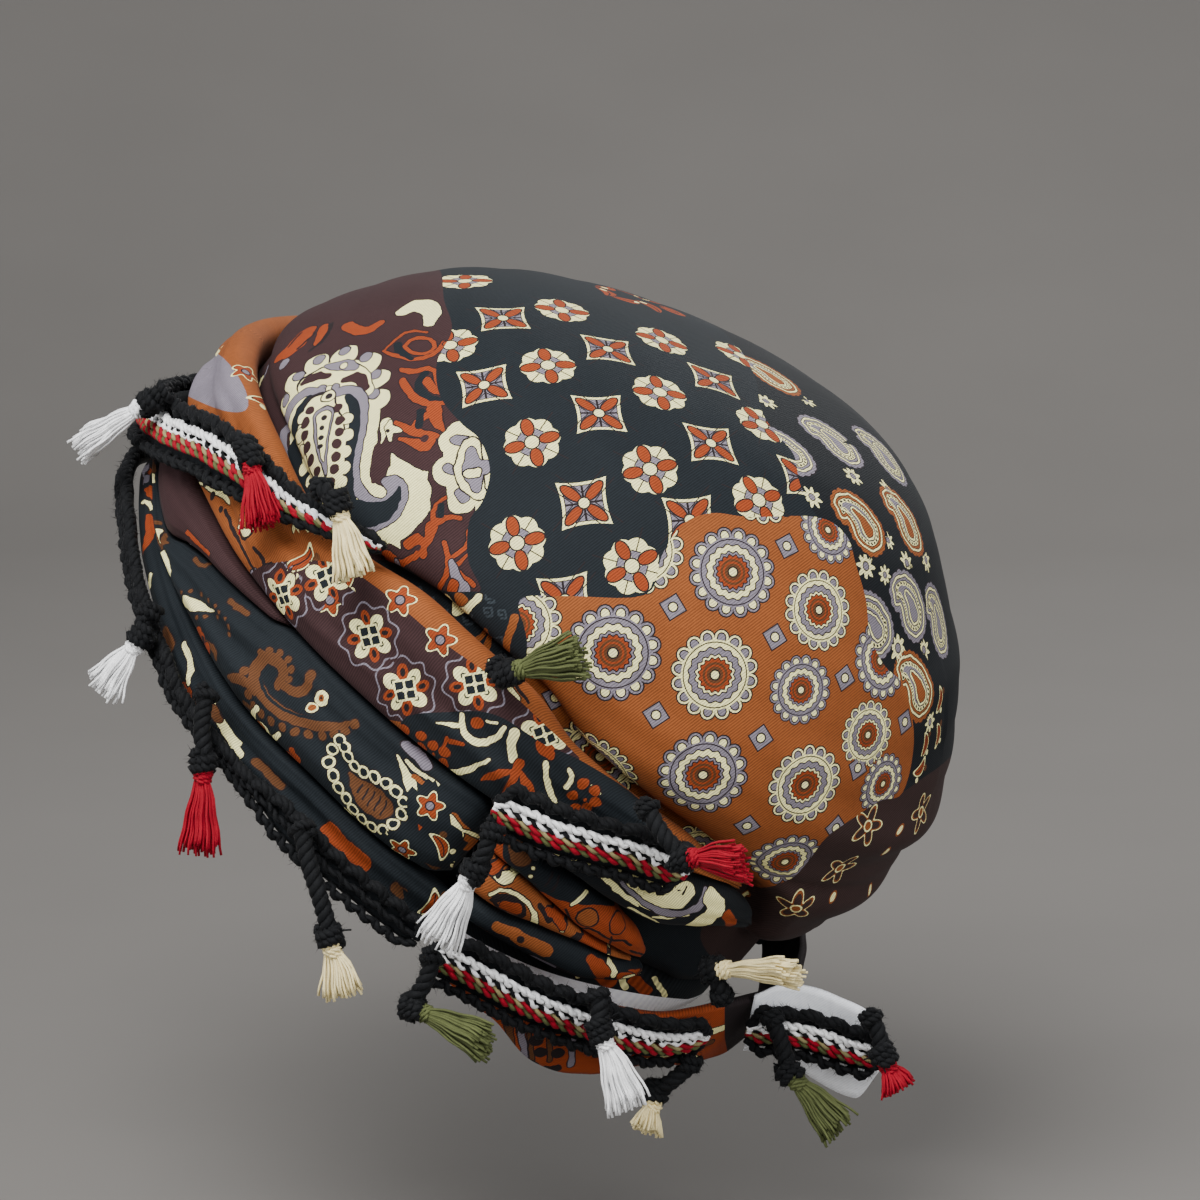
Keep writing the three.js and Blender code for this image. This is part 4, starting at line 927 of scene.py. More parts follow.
MIDDLE_ART = [
    ("umber", [[(265, 656, 1.9), (254, 670, 1.6), (262, 691, 1.6), (279, 708, 1.6), (308, 721, 1.6),
        (334, 725, 1.4), (352, 721, 0.5)], [(265, 654, 1.6), (283, 660, 1.6), (286, 673, 1.4),
        (279, 683, 1.3)], [(313, 672, 1.4), (309, 687, 1.3), (298, 691, 1.4), (285, 683, 1.1)],
        [(166, 536, 1.4)], [(151, 553, 1.8), (160, 570, 2.1), (166, 589, 1.8), (168, 603, 0.7)],
        [(197, 557, 0.6), (204, 564, 0.6), (216, 564, 0.4)], [(212, 681, 0.6), (227, 675, 0.7),
        (244, 679, 0.7), (256, 691, 0.6)], [(227, 689, 0.7), (239, 698, 1), (241, 714, 0.5)],
        [(206, 639, 0.7), (216, 647, 0.9), (216, 656, 0.7)], [(233, 599, 0.9), (239, 603, 0.7)]]),
    ("umber", [*dots(1.25, (247, 668), (246, 680), (249, 692), (254, 703), (262, 712), (272, 719),
        (284, 725), (297, 729), (310, 732), (323, 733), (336, 732), (348, 728), (357, 722)), *dots(1,
        (262, 650), (272, 648), (282, 651), (290, 657), (293, 667), (291, 677)), *dots(1.1, (146, 549),
        (144, 558), (147, 568), (152, 578), (157, 588), (160, 598), (163, 608)), [(150, 540, 1),
        (160, 536, 1.2), (168, 543, 0.9)], [(172, 612, 0.8), (178, 624, 1), (186, 632, 0.8)],
        [(238, 604, 0.9), (250, 612, 0.7)], [(222, 680, 0.5), (232, 672, 0.6), (246, 674, 0.6),
        (254, 684, 0.6)], [(244, 700, 0.7), (252, 706, 0.6)], [(430, 860, 1), (440, 872, 1.2)]]),
    ("navy", [[(265, 668, 0.4), (262, 681, 0.4), (271, 696, 0.4), (286, 708, 0.4), (308, 716, 0.4),
        (330, 718, 0.3)], [(292, 694, 0.3), (304, 698, 0.3), (319, 689, 0.3)], *dots(0.9, (223, 686),
        (233, 684), (242, 687), (237, 694)), [(149, 555, 0.3), (158, 585, 0.3)], [(154, 553, 0.3),
        (165, 582, 0.3)]]),
    ("umber", [*dots(0.6, (177, 595), (183, 590), (193, 589), (202, 592), (210, 598), (218, 604),
        (221, 610), (227, 616), (229, 624), (230, 631), (218, 615), (208, 615), (198, 615), (189, 613),
        (181, 608), (175, 603))]),
    ("cream", [[(186, 599, 1.5), (197, 603, 1.7), (204, 605, 1.1), (214, 608, 0.2)], [(256, 710, 0.5),
        (253, 716, 1.1), (258, 723, 1.1), (265, 727, 2.1), (267, 735, 1.9)], [(323, 695, 2.1)],
        [(315, 705, 1.5)], [(187, 637, 0.3), (200, 639, 0.3), (203, 649, 0.3), (198, 660, 0.3)],
        [(224, 694, 0.5), (227, 702, 0.4)]]),
    ("rust", [*dots(1, (323, 695), (315, 705)), [(263, 729, 1.3), (266, 735, 1.1)]]),
    ("ink", [[(323, 695, 0.4)]]),
    ("cream", [*dots(1.75, (342, 738), (334, 747), (331, 760), (335, 773), (340, 785), (347, 796),
        (354, 807), (363, 817), (373, 825), (384, 828), (395, 822), (403, 812), (405, 800), (398, 789),
        (388, 781), (376, 775), (365, 770), (356, 764), (349, 754), (346, 745))]),
    ("navy", [*dots(1.1, (342, 738), (334, 747), (331, 760), (335, 773), (340, 785), (347, 796), (354, 807),
        (363, 817), (373, 825), (384, 828), (395, 822), (403, 812), (405, 800), (398, 789), (388, 781),
        (376, 775), (365, 770), (356, 764), (349, 754), (346, 745))]),
    ("umber", [[(352, 772, 0.4), (362, 785, 2.2), (374, 797, 4), (383, 804, 3.4)]]),
    ("ink", [[(364, 782, 0.25), (360, 790, 0.25)], [(370, 786, 0.25), (364, 797, 0.25)], [(376, 790, 0.25),
        (369, 803, 0.25)], [(382, 795, 0.25), (376, 808, 0.25)], [(388, 799, 0.25), (383, 812, 0.25)]]),
    ("cream", [[(258, 706, 0.9), (251, 714, 1), (253, 724, 1), (262, 733, 1.3), (272, 738, 0.9),
        (280, 732, 0.7)], [(276, 744, 0.5), (284, 748, 0.6)], [(318, 795, 0.35), (328, 800, 0.4),
        (338, 803, 0.35), (349, 809, 0.4), (356, 820, 0.35), (360, 829, 0.3)]]),
    ("rust", [[(262, 726, 2.1)]]),
    ("brick", [[(287, 752, 1.6)], *dots(1.5, (283, 760), (291, 766), (297, 757)), [(293, 750, 1.2)]]),
    ("ink", [[(290, 758, 0.9)]]),
    ("cream", [[(408, 758, 0.5), (420, 770, 0.7), (432, 776, 0.5), (446, 788, 0.5)], [(330, 830, 0.5),
        (344, 842, 0.6)]]),
    ("brick", [[(322, 818, 1.6)], [(331, 828, 1.5)], [(318, 828, 1.2)], [(414, 800, 1), (424, 822, 1.4),
        (430, 840, 0.8)], [(436, 826, 1.4), (448, 846, 1.2)]]),
    ("lavender", [[(408, 742, 1), (420, 752, 1.6), (430, 764, 1.2)]]),
]
NAVY_ART = [
    ("cream", [[(439, 720, 0.2), (460, 722, 0.6)], [(464, 713, 0.7), (464, 724, 0.8), (472, 736, 0.8),
        (485, 741, 0.8), (499, 736, 0.8), (507, 725, 0.7)], [(489, 719, 0.4), (499, 721, 0.4)],
        [(517, 730, 1.3), (513, 742, 1.2), (515, 757, 1.2)], [(426, 761, 0.3), (446, 773, 1),
        (466, 770, 0.9), (491, 757, 0.5)], [(548, 761, 0.7), (549, 778, 0.7), (553, 791, 0.8),
        (559, 805, 0.9)], [(572, 768, 0.7), (576, 776, 0.6), (568, 785, 0.5)], [(594, 784, 0.4),
        (602, 791, 0.5)]]),
    ("brick", [[(479, 721, 1.7)], [(423, 734, 1.5)], *dots(1.6, (423, 746), (435, 744), (447, 751),
        (445, 762), (434, 763), (425, 755)), [(445, 747, 0.5), (449, 736, 0.5)], [(453, 740, 0.9),
        (464, 741, 0.6)], [(522, 761, 1.2), (502, 805, 0.9)], [(514, 768, 0.4), (497, 773, 1.6),
        (484, 778, 0.4)], [(523, 770, 0.6), (531, 786, 1.7), (534, 795, 0.3)], [(499, 793, 1.4),
        (479, 791, 1.1)], [(506, 797, 0.4), (519, 806, 1.4), (528, 808, 0.3)], *dots(1.5, (575, 793),
        (585, 782), (597, 789), (598, 800), (589, 805), (577, 806)), [(543, 734, 0.9), (546, 745, 2.4),
        (553, 753, 1.3)]]),
    ("navy", [*dots(0.7, (435, 753), (587, 798))]),
    ("brick", [*dots(0.5, (587, 798), (435, 753))]),
]
# The key pattern: one bent hook in grey lines at each of these pixels
KEY_CORNERS = [
    (428, 597), (442, 609), (438, 627), (456, 625), (472, 637), (466, 615), (486, 607), (500, 609),
    (488, 593), (496, 637), (416, 587), (482, 653), (508, 653)]
KEY_LINE = 0.3


def key_hook(x, y):
    around = [(x, y), (x + 8, y - 1), (x + 9, y + 7), (x + 3, y + 8)]
    inner = [(x, y), (x + 1, y + 5), (x + 5, y + 4)]
    return [
        [(*start, KEY_LINE), (*end, KEY_LINE)]
        for side in (around, inner) for start, end in zip(side, side[1:])]


KEY_ART = [
    ("slate", [line for x, y in KEY_CORNERS for line in key_hook(x, y)]),
    ("cream", [[(449, 596, 1), (463, 615, 1), (481, 596, 1)]]),
    ("rust", [[(463, 600, 2.3), (463, 604, 2.1)], [(439, 629, 0.4), (457, 648, 1.8), (464, 655, 1)],
        [(464, 654, 1.1), (487, 629, 0.4)], [(488, 629, 0.5), (482, 663, 1.4)], [(517, 617, 1.2),
        (508, 648, 1.2)]]),
    ("cream", [[(449, 596, 1), (463, 615, 1), (481, 596, 1)]]),
]
MIDDLE_MORE = [
    ("cream", [[(399, 753, 0.2), (414, 784, 1.8), (419, 795, 1)]]),
    ("rust", [[(416, 774, 0.7), (430, 784, 0.6), (445, 793, 0.4)], [(455, 816, 1.6), (464, 839, 3.2),
        (476, 839, 1.6)]]),
    ("lavender", [[(424, 793, 1.3), (432, 809, 2.7), (435, 818, 1.3)]]),
    ("maroon", [*dots(0.9, (425, 795), (434, 799))]),
    ("cream", [[(452, 816, 1.2), (458, 826, 1.4), (470, 851, 0.3)], [(462, 828, 0.3), (481, 834, 0.5)]]),
    ("rust", [[(429, 816, 0.4), (443, 810, 0.4)]]),
]
RUST_ART = [
    ("cream", [[(186, 473, 0.6), (202, 477, 1.1), (219, 487, 1.3), (229, 497, 0.5)], [(189, 490, 0.7),
        (204, 504, 1.4), (215, 520, 1.2), (219, 536, 0.4)], [(298, 525, 1.6), (319, 540, 1.3)],
        [(289, 548, 0.7), (286, 558, 0.6)], [(228, 553, 0.4), (252, 591, 0.4)], [(277, 564, 0.4),
        (265, 574, 0.4)]]),
    ("ink", [[(197, 475, 0.6), (216, 484, 0.7)], [(195, 492, 0.7), (210, 503, 1), (211, 514, 0.5)],
        [(246, 523, 3.8)], [(302, 555, 2.2)], [(262, 564, 0.5), (273, 561, 0.6)]]),
    ("rust", [[(246, 522, 3.2)]]),
    ("cream", [[(303, 558, 1.6)], [(239, 524, 0.7), (246, 531, 1.1), (254, 526, 0.6)], [(243, 517, 0.6)]]),
    ("lavender", [[(350, 690, 2.2), (366, 704, 3.2), (382, 720, 3.2), (398, 736, 2.2)]]),
    ("cream", [[(372, 694, 1), (386, 700, 1.2), (390, 712, 0.8)], [(346, 676, 1.2), (352, 690, 0.8)],
        [(168, 352, 0.5), (172, 372, 0.6), (178, 390, 0.5)], [(330, 560, 0.8), (338, 574, 1.2),
        (346, 590, 0.6)], [(478, 640, 0.6), (500, 668, 0.7), (520, 696, 0.6)]]),
    ("ink", [[(178, 346, 0.5), (196, 356, 0.6), (214, 372, 0.5), (236, 398, 0.5)], [(255, 545, 0.5),
        (268, 560, 0.5), (262, 578, 0.4)], [(486, 640, 0.4), (508, 668, 0.5), (530, 700, 0.4)],
        [(228, 508, 0.6), (240, 540, 0.5), (262, 580, 0.5)], [(190, 360, 1.3)], *dots(1.2, (206, 480),
        (214, 492)), [(222, 506, 1)]]),
    ("brick", [[(386, 716, 1.6), (396, 726, 1.2)]]),
]
LOWER_ART = [
    ("cream", [[(183, 647, 0.7), (169, 696, 1.1)], [(145, 564, 0.6), (141, 585, 0.6), (131, 605, 0.7)],
        [(143, 587, 0.4), (155, 591, 0.7)], [(204, 697, 1.2), (193, 725, 0.7)], [(133, 616, 0.7),
        (135, 624, 0.5)]]),
    ("brick", [[(153, 522, 1.4), (153, 532, 1.9), (145, 547, 0.7)], [(130, 564, 1.4), (130, 580, 1)],
        [(139, 605, 1.1), (137, 608, 1.1)], [(185, 687, 1.9), (190, 694, 1.6), (188, 710, 1.1)],
        [(168, 666, 0.9), (162, 677, 1.3)]]),
    ("lavender", [[(137, 503, 0.7), (131, 513, 2.1), (137, 524, 1.1)], [(124, 530, 0.4), (131, 547, 0.4)]]),
    ("cream", [[(135, 495, 0.5), (149, 499, 0.6), (154, 507, 0.5)]]),
    ("brick", [[(128, 552, 1.6), (134, 566, 1.8)], [(148, 600, 1.8), (154, 616, 1.4)], [(176, 668, 1.6),
        (178, 684, 2)], [(206, 724, 1.8), (214, 742, 1.6)], [(226, 756, 1.6), (234, 772, 1.8)],
        [(250, 772, 2), (258, 792, 1.8)], [(286, 812, 1.6), (300, 832, 1.6)], [(330, 862, 2),
        (352, 884, 1.6)], [(150, 486, 1.2), (158, 498, 1.4)]]),
    ("cream", [[(129, 587, 0.9), (140, 594, 1), (150, 584, 0.9), (152, 572, 0.6)], [(158, 640, 1),
        (168, 616, 0.6)], [(216, 770, 1.1), (224, 744, 0.8)], [(236, 790, 1.3), (242, 752, 1.1)],
        [(268, 812, 0.9), (282, 838, 0.9)], [(312, 850, 0.9), (322, 872, 1)], [(372, 900, 0.8),
        (392, 916, 0.8)], [(186, 640, 0.7), (194, 664, 0.9), (190, 680, 0.5)]]),
    ("lavender", [[(134, 614, 1.3), (144, 624, 1.2)], [(204, 700, 1), (210, 712, 1.2)], [(262, 790, 1),
        (270, 802, 1.2)], [(344, 872, 1.1), (356, 880, 1)]]),
    ("umber", [[(166, 628, 1.3), (172, 642, 1.5)], [(196, 700, 1.1), (202, 716, 1.3)], [(246, 800, 1.4),
        (256, 812, 1.2)], [(300, 846, 1.3), (310, 858, 1.2)], [(360, 896, 1.3), (376, 908, 1.2)]]),
]
BAND_ART = [
    ("lavender", [[(508, 823, 1.1), (548, 844, 1.8), (586, 859, 2.3)]]),
    ("cream", [[(520, 831, 0.7), (548, 844, 0.8), (590, 863, 0.8)], [(548, 840, 0.7), (577, 850, 0.9)]]),
    ("ink", [[(535, 834, 0.2), (529, 841, 0.2)], [(565, 847, 1.2), (575, 853, 1.2)]]),
    ("lavender", [*dots(0.8, (565, 847), (575, 853))]),
    ("cream", [[(594, 865, 0.7), (615, 884, 0.4)], [(605, 873, 0.8), (630, 895, 0.4)], [(617, 886, 0.7),
        (640, 905, 0.3)], [(630, 895, 0.7), (668, 915, 0.4)], [(657, 916, 0.6), (691, 914, 0.3)],
        [(632, 907, 0.5), (662, 922, 0.3)]]),
    ("lavender", [[(617, 869, 0.9), (632, 886, 1.1), (653, 905, 1.2), (678, 914, 1.2), (697, 908, 1.2),
        (706, 897, 1.1), (706, 886, 0.8)]]),
    ("cream", [[(625, 867, 1.8), (640, 878, 2.6), (657, 893, 2.9), (678, 900, 2.7), (690, 892, 2),
        (691, 883, 1.5), (681, 884, 0.8)], [(674, 882, 0.7), (675, 890, 1.5)], [(712, 895, 2.3),
        (721, 905, 2.6), (713, 916, 3.3), (693, 926, 2.3), (675, 925, 0.9)], [(731, 888, 0.9),
        (752, 897, 0.9)]]),
    ("ink", [[(685, 892, 0.3), (688, 884, 0.3)]]),
    ("brick", [[(729, 912, 1.5), (734, 922, 1.6)], [(746, 905, 1.2), (754, 907, 1.2)]]),
    ("lavender", [[(733, 895, 0.8), (754, 905, 0.8)]]),
]
GATHER_ART = [
    ("navy", [[(520, 850, 4.1), (548, 874, 5), (590, 886, 4.9), (609, 897, 2.1)]]),
    ("umber", [[(582, 872, 0.9), (559, 898, 0.9)], [(520, 840, 3.5), (523, 853, 2.9)]]),
    ("ink", [[(554, 869, 0.3), (548, 884, 0.3)], [(560, 874, 0.3), (554, 890, 0.3)]]),
    ("cream", [[(591, 879, 0.6), (586, 893, 0.6), (575, 902, 0.5)], [(610, 884, 0.6), (596, 901, 0.5)],
        *dots(0.5, (535, 865), (533, 874))]),
    ("brick", [[(599, 884, 1.5), (591, 897, 1.4)]]),
    ("ink", [[(590, 916, 3.2)], [(620, 921, 3.3)], [(569, 907, 0.4), (577, 928, 0.4), (598, 927, 0.4),
        (611, 939, 0.4), (632, 939, 0.4), (640, 956, 0.4)], [(615, 935, 0.3), (611, 949, 0.3),
        (628, 966, 0.3)], [(645, 926, 0.3), (632, 949, 0.3)]]),
    ("rust", [[(590, 916, 2.7)]]),
    ("brick", [[(620, 921, 2.8)]]),
    ("navy", [[(657, 966, 1.5), (668, 979, 1.5)]]),
    ("cream", [[(657, 956, 0.3), (670, 979, 0.4)]]),
]
GATHER_MIDDLE_ART = [
    ("cream", [[(493, 893, 0.5), (508, 886, 0.5), (525, 895, 0.5), (535, 907, 0.5), (539, 922, 0.9),
        (528, 925, 1.5), (514, 920, 0.5)], [(493, 869, 0.5), (512, 876, 1.5), (517, 871, 0.7)],
        [(470, 916, 0.4), (493, 920, 0.4), (502, 918, 0.4)], *dots(0.6, (609, 952), (565, 926)),
        [(453, 813, 0.4), (470, 848, 0.4)]]),
    ("ink", [[(495, 899, 0.9), (503, 896, 1.2), (514, 897, 1.1), (525, 905, 1.1), (525, 916, 0.9),
        (514, 916, 0.8), (502, 909, 0.8), (495, 899, 0.6)], [(495, 859, 0.8), (502, 865, 1.1),
        (514, 865, 0.8)], [(542, 903, 0.8), (552, 916, 0.8)], [(577, 935, 1.2), (590, 939, 1.2)]]),
    ("brick", [[(508, 905, 1.8), (518, 908, 1.8)], [(504, 861, 1.5)], [(586, 937, 1.4), (611, 956, 1.4),
        (632, 975, 1.2)], [(548, 905, 0.6), (565, 920, 0.9)]]),
]
GATHER_LOWER_ART = [
    ("rust", [[(499, 924, 1.5), (520, 935, 2), (548, 949, 2)]]),
    ("ink", [[(523, 937, 1.1)], [(502, 933, 0.5), (510, 937, 0.7)]]),
    ("cream", [[(489, 939, 0.7), (518, 952, 0.6)], [(560, 968, 0.5), (586, 981, 0.4)], [(609, 958, 0.8),
        (619, 977, 1.2), (627, 989, 1.2)], [(649, 980, 0.7), (660, 997, 0.6)]]),
    ("brick", [[(592, 956, 1.4), (605, 968, 2.3), (608, 981, 1.5)], [(630, 970, 0.8), (642, 986, 1.5)],
        [(481, 928, 0.8), (493, 935, 0.7)]]),
    ("lavender", [[(531, 954, 0.5), (556, 966, 0.6)]]),
    ("brick", [[(520, 962, 1.6), (540, 972, 1.8)], [(470, 930, 1.4), (484, 944, 1.4)]]),
    ("umber", [[(560, 978, 1.6), (580, 990, 1.5)], [(500, 946, 1.2), (512, 956, 1.2)]]),
    ("cream", [[(536, 960, 0.6), (552, 972, 0.7), (548, 984, 0.5)], [(474, 942, 0.5), (490, 956, 0.6)]]),
]
TAIL_ART = [
    ("lavender", [[(518, 1008, 0.9), (523, 1031, 0.9), (528, 1055, 0.8)], [(577, 1031, 0.8),
        (573, 1063, 0.8)]]),
    ("umber", [[(508, 1010, 1.1), (514, 1042, 0.8)], [(531, 1029, 0.5), (535, 1061, 0.5)],
        [(584, 1050, 0.7), (580, 1076, 0.7)], [(550, 1015, 0.6), (552, 1059, 0.5)]]),
    ("ink", [*dots(2, (538, 1026), (538, 1039), (543, 1051), (562, 1026), (564, 1039), (560, 1051)),
        [(539, 1065, 1.2), (550, 1069, 1.4), (560, 1066, 1.2)], [(516, 1006, 0.3), (519, 1031, 0.3)]]),
    ("cream", [[(635, 1059, 0.5), (662, 1056, 0.5), (683, 1051, 0.4), (697, 1038, 0.4)], [(678, 1050, 0.4),
        (699, 1055, 0.4)], [(708, 1031, 1.6), (725, 1026, 1.3)], [(723, 1055, 0.5), (731, 1036, 1.1)],
        [(443, 973, 0.6), (451, 989, 0.5)]]),
    ("umber", [[(701, 1044, 1.1), (714, 1040, 0.8)]]),
    ("navy", [[(733, 1042, 2.3), (750, 1038, 3.5)], [(430, 962, 1.8), (436, 977, 1.8)]]),
    ("rust", [[(600, 1068, 2.2), (624, 1072, 2.4)], [(648, 1046, 1.6), (668, 1040, 1.6)], [(590, 1016, 1.4),
        (602, 1024, 1.6)]]),
    ("ink", [[(606, 1058, 0.4), (618, 1066, 0.5), (612, 1076, 0.4)], [(640, 1044, 0.4), (656, 1036, 0.4),
        (674, 1044, 0.4)], [(590, 1040, 1.3), (598, 1052, 1.4)], [(500, 1024, 1.2), (504, 1040, 1.3)]]),
    ("lavender", [[(626, 1060, 0.8), (634, 1048, 0.9)]]),
]


# Motifs: how far each reaches, what it is printed in, and the ground it keeps to
def medallion(outer, inner):
    return [
        ("q", "mod(a, turn / 16) - turn / 32"), ("ring", "r * cos(q)"), ("side", "r * sin(q)"),
        ("lobe", "sqrt((ring - 10.7) ** 2 + side ** 2)"), ("wave", "r + 0.3 * cos(a * 16)"),
        ("ink", "min(lobe - 2.4, r - 10.9) < 0"), (outer, "min(lobe - 2.0, r - 10.5) < 0"),
        ("arch", "sqrt(((ring - 10.5) * 0.85) ** 2 + side ** 2) + 9 * (9.9 > ring)"),
        ("ink", "arch < 1.45"), (inner, "arch < 1.1"), ("ink", "r < 9.45"), (outer, "r < 9.1"),
        ("ink", "wave < 7.9"), (inner, "wave < 7.5"), ("ink", "wave < 5.9"), (outer, "wave < 5.5"),
        ("ink", "wave < 4.9"), ("brick", "wave < 4.5"), ("umber", "abs(r - 3.3) < 0.35"),
        ("umber", "r < 2.4"),
        ("ink", "r < 1.6"), ("cream", "r < 1.15")]


def small_paisley(rim):
    """A comma with a scalloped rim, a ringed border of dots and a drop inside."""
    comma = [[(1.6, -1.8, 5.2), (0.6, 1.6, 4.6), (-2.4, 4.6, 3.1), (-5.2, 5.2, 1.9), (-6.2, 3.2, 1.0)]]
    drop = [[(1.8, -2.2, 2.1), (0.8, 1.2, 1.2), (-1.2, 3.4, 0.4)]]
    return [
        ("body", comma), ("drop", drop), ("beads", "sin(a * 30)"),
        ("ink", "body - 0.5 * abs(sin(a * 12)) < 2.7"), (rim, "body - 0.5 * abs(sin(a * 12)) < 2.4"),
        ("ink", "body < 1.6"), ("cream", "body < 1.35"), ("ink", "body < 0.75"), (rim, "body < 0.5"),
        ("ink", "body < -0.1"), ("cream", "body < -0.35"),
        ("ink", "(abs(body + 0.9) < 0.35) * (beads > -0.2)"),
        ("lavender", "body < -1.5"), ("ink", "drop < 1.1"), ("cream", "drop < 0.8"), ("ink", "drop < 0.25"),
        (rim, "drop < 0")]


MOTIFS = {
    "medallion_lavender": (13.4, medallion("lavender", "cream"), "rust"),
    "medallion_cream": (13.4, medallion("cream", "lavender"), "rust"),
    "lozenge": (4.6, [
        ("square", "max(abs(x), abs(y))"), ("ink", "square < 2.75"), ("lavender", "square < 2.4"),
        ("ink", "r < 1.45"), ("cream", "r < 1.05")], "rust"),
    "square_star": (9.2, [
        ("big", "max(abs(x), abs(y))"), ("small", "min(abs(x), abs(y))"),
        ("frame", "big - 0.75 * (small / 6.2) ** 2"),
        ("p", "(big + small) / sqrt(2)"), ("q", "(big - small) / sqrt(2)"),
        ("cream", "frame < 5.8"), ("ink", "frame < 5.05"), ("lavender", "max(frame - 4.8, 0.3 - small) < 0"),
        ("ink", "abs(q - 1.9) < 0.15"), ("petal", "((p - 4.35) / 3.3) ** 2"),
        ("ink", "petal + (q / 1.6) ** 2 < 1.15"), ("brick", "petal + (q / 1.35) ** 2 < 0.88"),
        ("ink", "r < 1.75"), ("cream", "r < 1.35")], "navy"),
    "rosette": (8.4, [
        ("big", "max(abs(x), abs(y))"), ("small", "min(abs(x), abs(y))"),
        ("edge", "r - 0.9 * abs(cos(a * 4))"),
        ("p", "(big + small) / sqrt(2)"), ("q", "(big - small) / sqrt(2)"),
        ("cream", "edge < 6.7"), ("ink", "abs(q) - 0.16 < 0"),
        ("lavender", "max(abs(q) - 0.32 * p, p - 3.9) < 0"),
        ("ink", "abs(p - 4.0) + 9 * (abs(q) > 0.33 * p) < 0.16"),
        ("ink", "((big - 4.7) / 3) ** 2 + (small / 1.9) ** 2 < 1"),
        ("brick", "((big - 4.7) / 2.6) ** 2 + (small / 1.5) ** 2 < 1"),
        ("ink", "r < 2.2"), ("cream", "r < 1.8")], "navy"),
    "rust_paisley": (12.5, small_paisley("rust"), "black"),
    "lavender_paisley": (12.5, small_paisley("lavender"), "black"),
    "bloom": (4.6, [
        ("petal", "r - 0.9 * cos(a * 5)"), ("cream", "petal < 3.7"), ("ink", "petal < 3.2"),
        ("brick", "petal < 2.95"),
        ("ink", "r < 1.5"), ("lavender", "r < 1.1")], None),
    "leaf": (5.4, [
        ("bend", "y - 0.09 * x * x + 0.8"), ("blade", "(x / 4.8) ** 2 + (bend / 1.9) ** 2"),
        ("cream", "blade < 1"), ("ink", "blade < 0.68"), ("brick", "blade < 0.56"),
        ("ink", "abs(bend) + 9 * (blade > 0.5) < 0.2"),
        ("umber", "(x - 3.4) ** 2 + (y + 2.4) ** 2 < 1.4"),
        ("cream", "(x + 3.2) ** 2 + (y + 2.8) ** 2 < 0.9")], None),
    "spray": (5.4, [
        ("bend", "y - 0.09 * x * x + 0.8"), ("blade", "(x / 4.8) ** 2 + (bend / 2.1) ** 2"),
        ("brick", "blade < 1"), ("ink", "abs(bend) + 9 * (blade > 0.9) < 0.3"),
        ("cream", "(x - 2.6) ** 2 + bend ** 2 < 0.8")],
              "navy"),
    "daisy": (4, [
        ("cream", "r - 0.8 * cos(a * 8) < 2.7"), ("ink", "r < 1.25"), ("lavender", "r < 0.95")], "black"),
    "sprig": (6, [
        ("petal", "r - 1.7 * cos(a * 5)"), ("cream", "petal < 4.6"), ("rust", "petal < 4.1"),
        ("brown", "petal < 3.3"), ("cream", "r < 1.7"), ("rust", "r < 1.2")], "brown"),
    "seed": (3, [("rust", "(x / 2.3) ** 2 + (y / 1.3) ** 2 < 1"),
        ("cream", "(x / 1.7) ** 2 + (y / 0.85) ** 2 < 1")],
             "brown"),
    "star": (10.6, [
        ("edge", "r - 0.85 * cos(a * 8)"), ("lavender", "abs(edge - 8.9) < 0.3"),
        ("big", "max(abs(x), abs(y))"), ("small", "min(abs(x), abs(y))"),
        ("p", "(big + small) / sqrt(2)"), ("q", "(big - small) / sqrt(2)"),
        ("cream", "((p - 4.6) / 2.6) ** 2 + (q / 2.1) ** 2 < 1"),
        ("navy", "((p - 3.6) / 1.3) ** 2 + (q / 0.9) ** 2 < 1"),
        ("brick", "((big - 5.2) / 2.4) ** 2 + (small / 1.55) ** 2 < 1"),
        ("ink", "((big - 5.1) / 1.2) ** 2 + (small / 0.7) ** 2 < 1"),
        ("cream", "big < 3.2"), ("navy", "big < 2.6"), ("cream", "small < 0.3 * (3 > big)"),
        ("cream", "r < 0.8")],
             "maroon"),
}

# The crown's print, patch over patch, as outlines in the photograph
MAROON_PATCH = [
    (225, 470), (230, 340), (300, 290), (400, 262), (438, 268), (444, 300), (452, 330), (437, 362),
    (440, 396),
    (462, 424), (480, 440), (490, 470), (483, 500), (469, 522), (468, 560), (480, 592), (440, 590),
    (405, 568),
    (380, 560), (330, 560)]
KEY_PATCH = [
    (405, 568), (440, 590), (480, 592), (495, 600), (520, 600), (527, 640), (535, 700), (500, 680),
    (440, 620)]
BLACK_PATCH = [
    (700, 300), (742, 352), (756, 380), (762, 412), (775, 432), (794, 455), (800, 484), (817, 516),
    (846, 535),
    (856, 565), (866, 600), (870, 635), (884, 665), (905, 688), (912, 740), (908, 778), (936, 784),
    (990, 760),
    (990, 560), (960, 450), (900, 380), (820, 320), (760, 300)]
BROWN_PATCH = [
    (744, 884), (786, 881), (806, 864), (826, 838), (852, 819), (880, 801), (903, 792), (935, 770),
    (990, 740),
    (990, 900), (900, 1000), (780, 1000), (700, 940)]
RUST_PATCH = [
    (520, 600), (565, 596), (645, 595), (662, 555), (683, 524), (712, 513), (750, 517), (817, 517),
    (846, 535),
    (856, 565), (866, 600), (870, 635), (884, 665), (905, 688), (914, 740), (903, 792), (880, 801),
    (852, 819),
    (826, 838), (806, 864), (786, 881), (744, 884), (640, 830), (535, 720), (527, 640)]
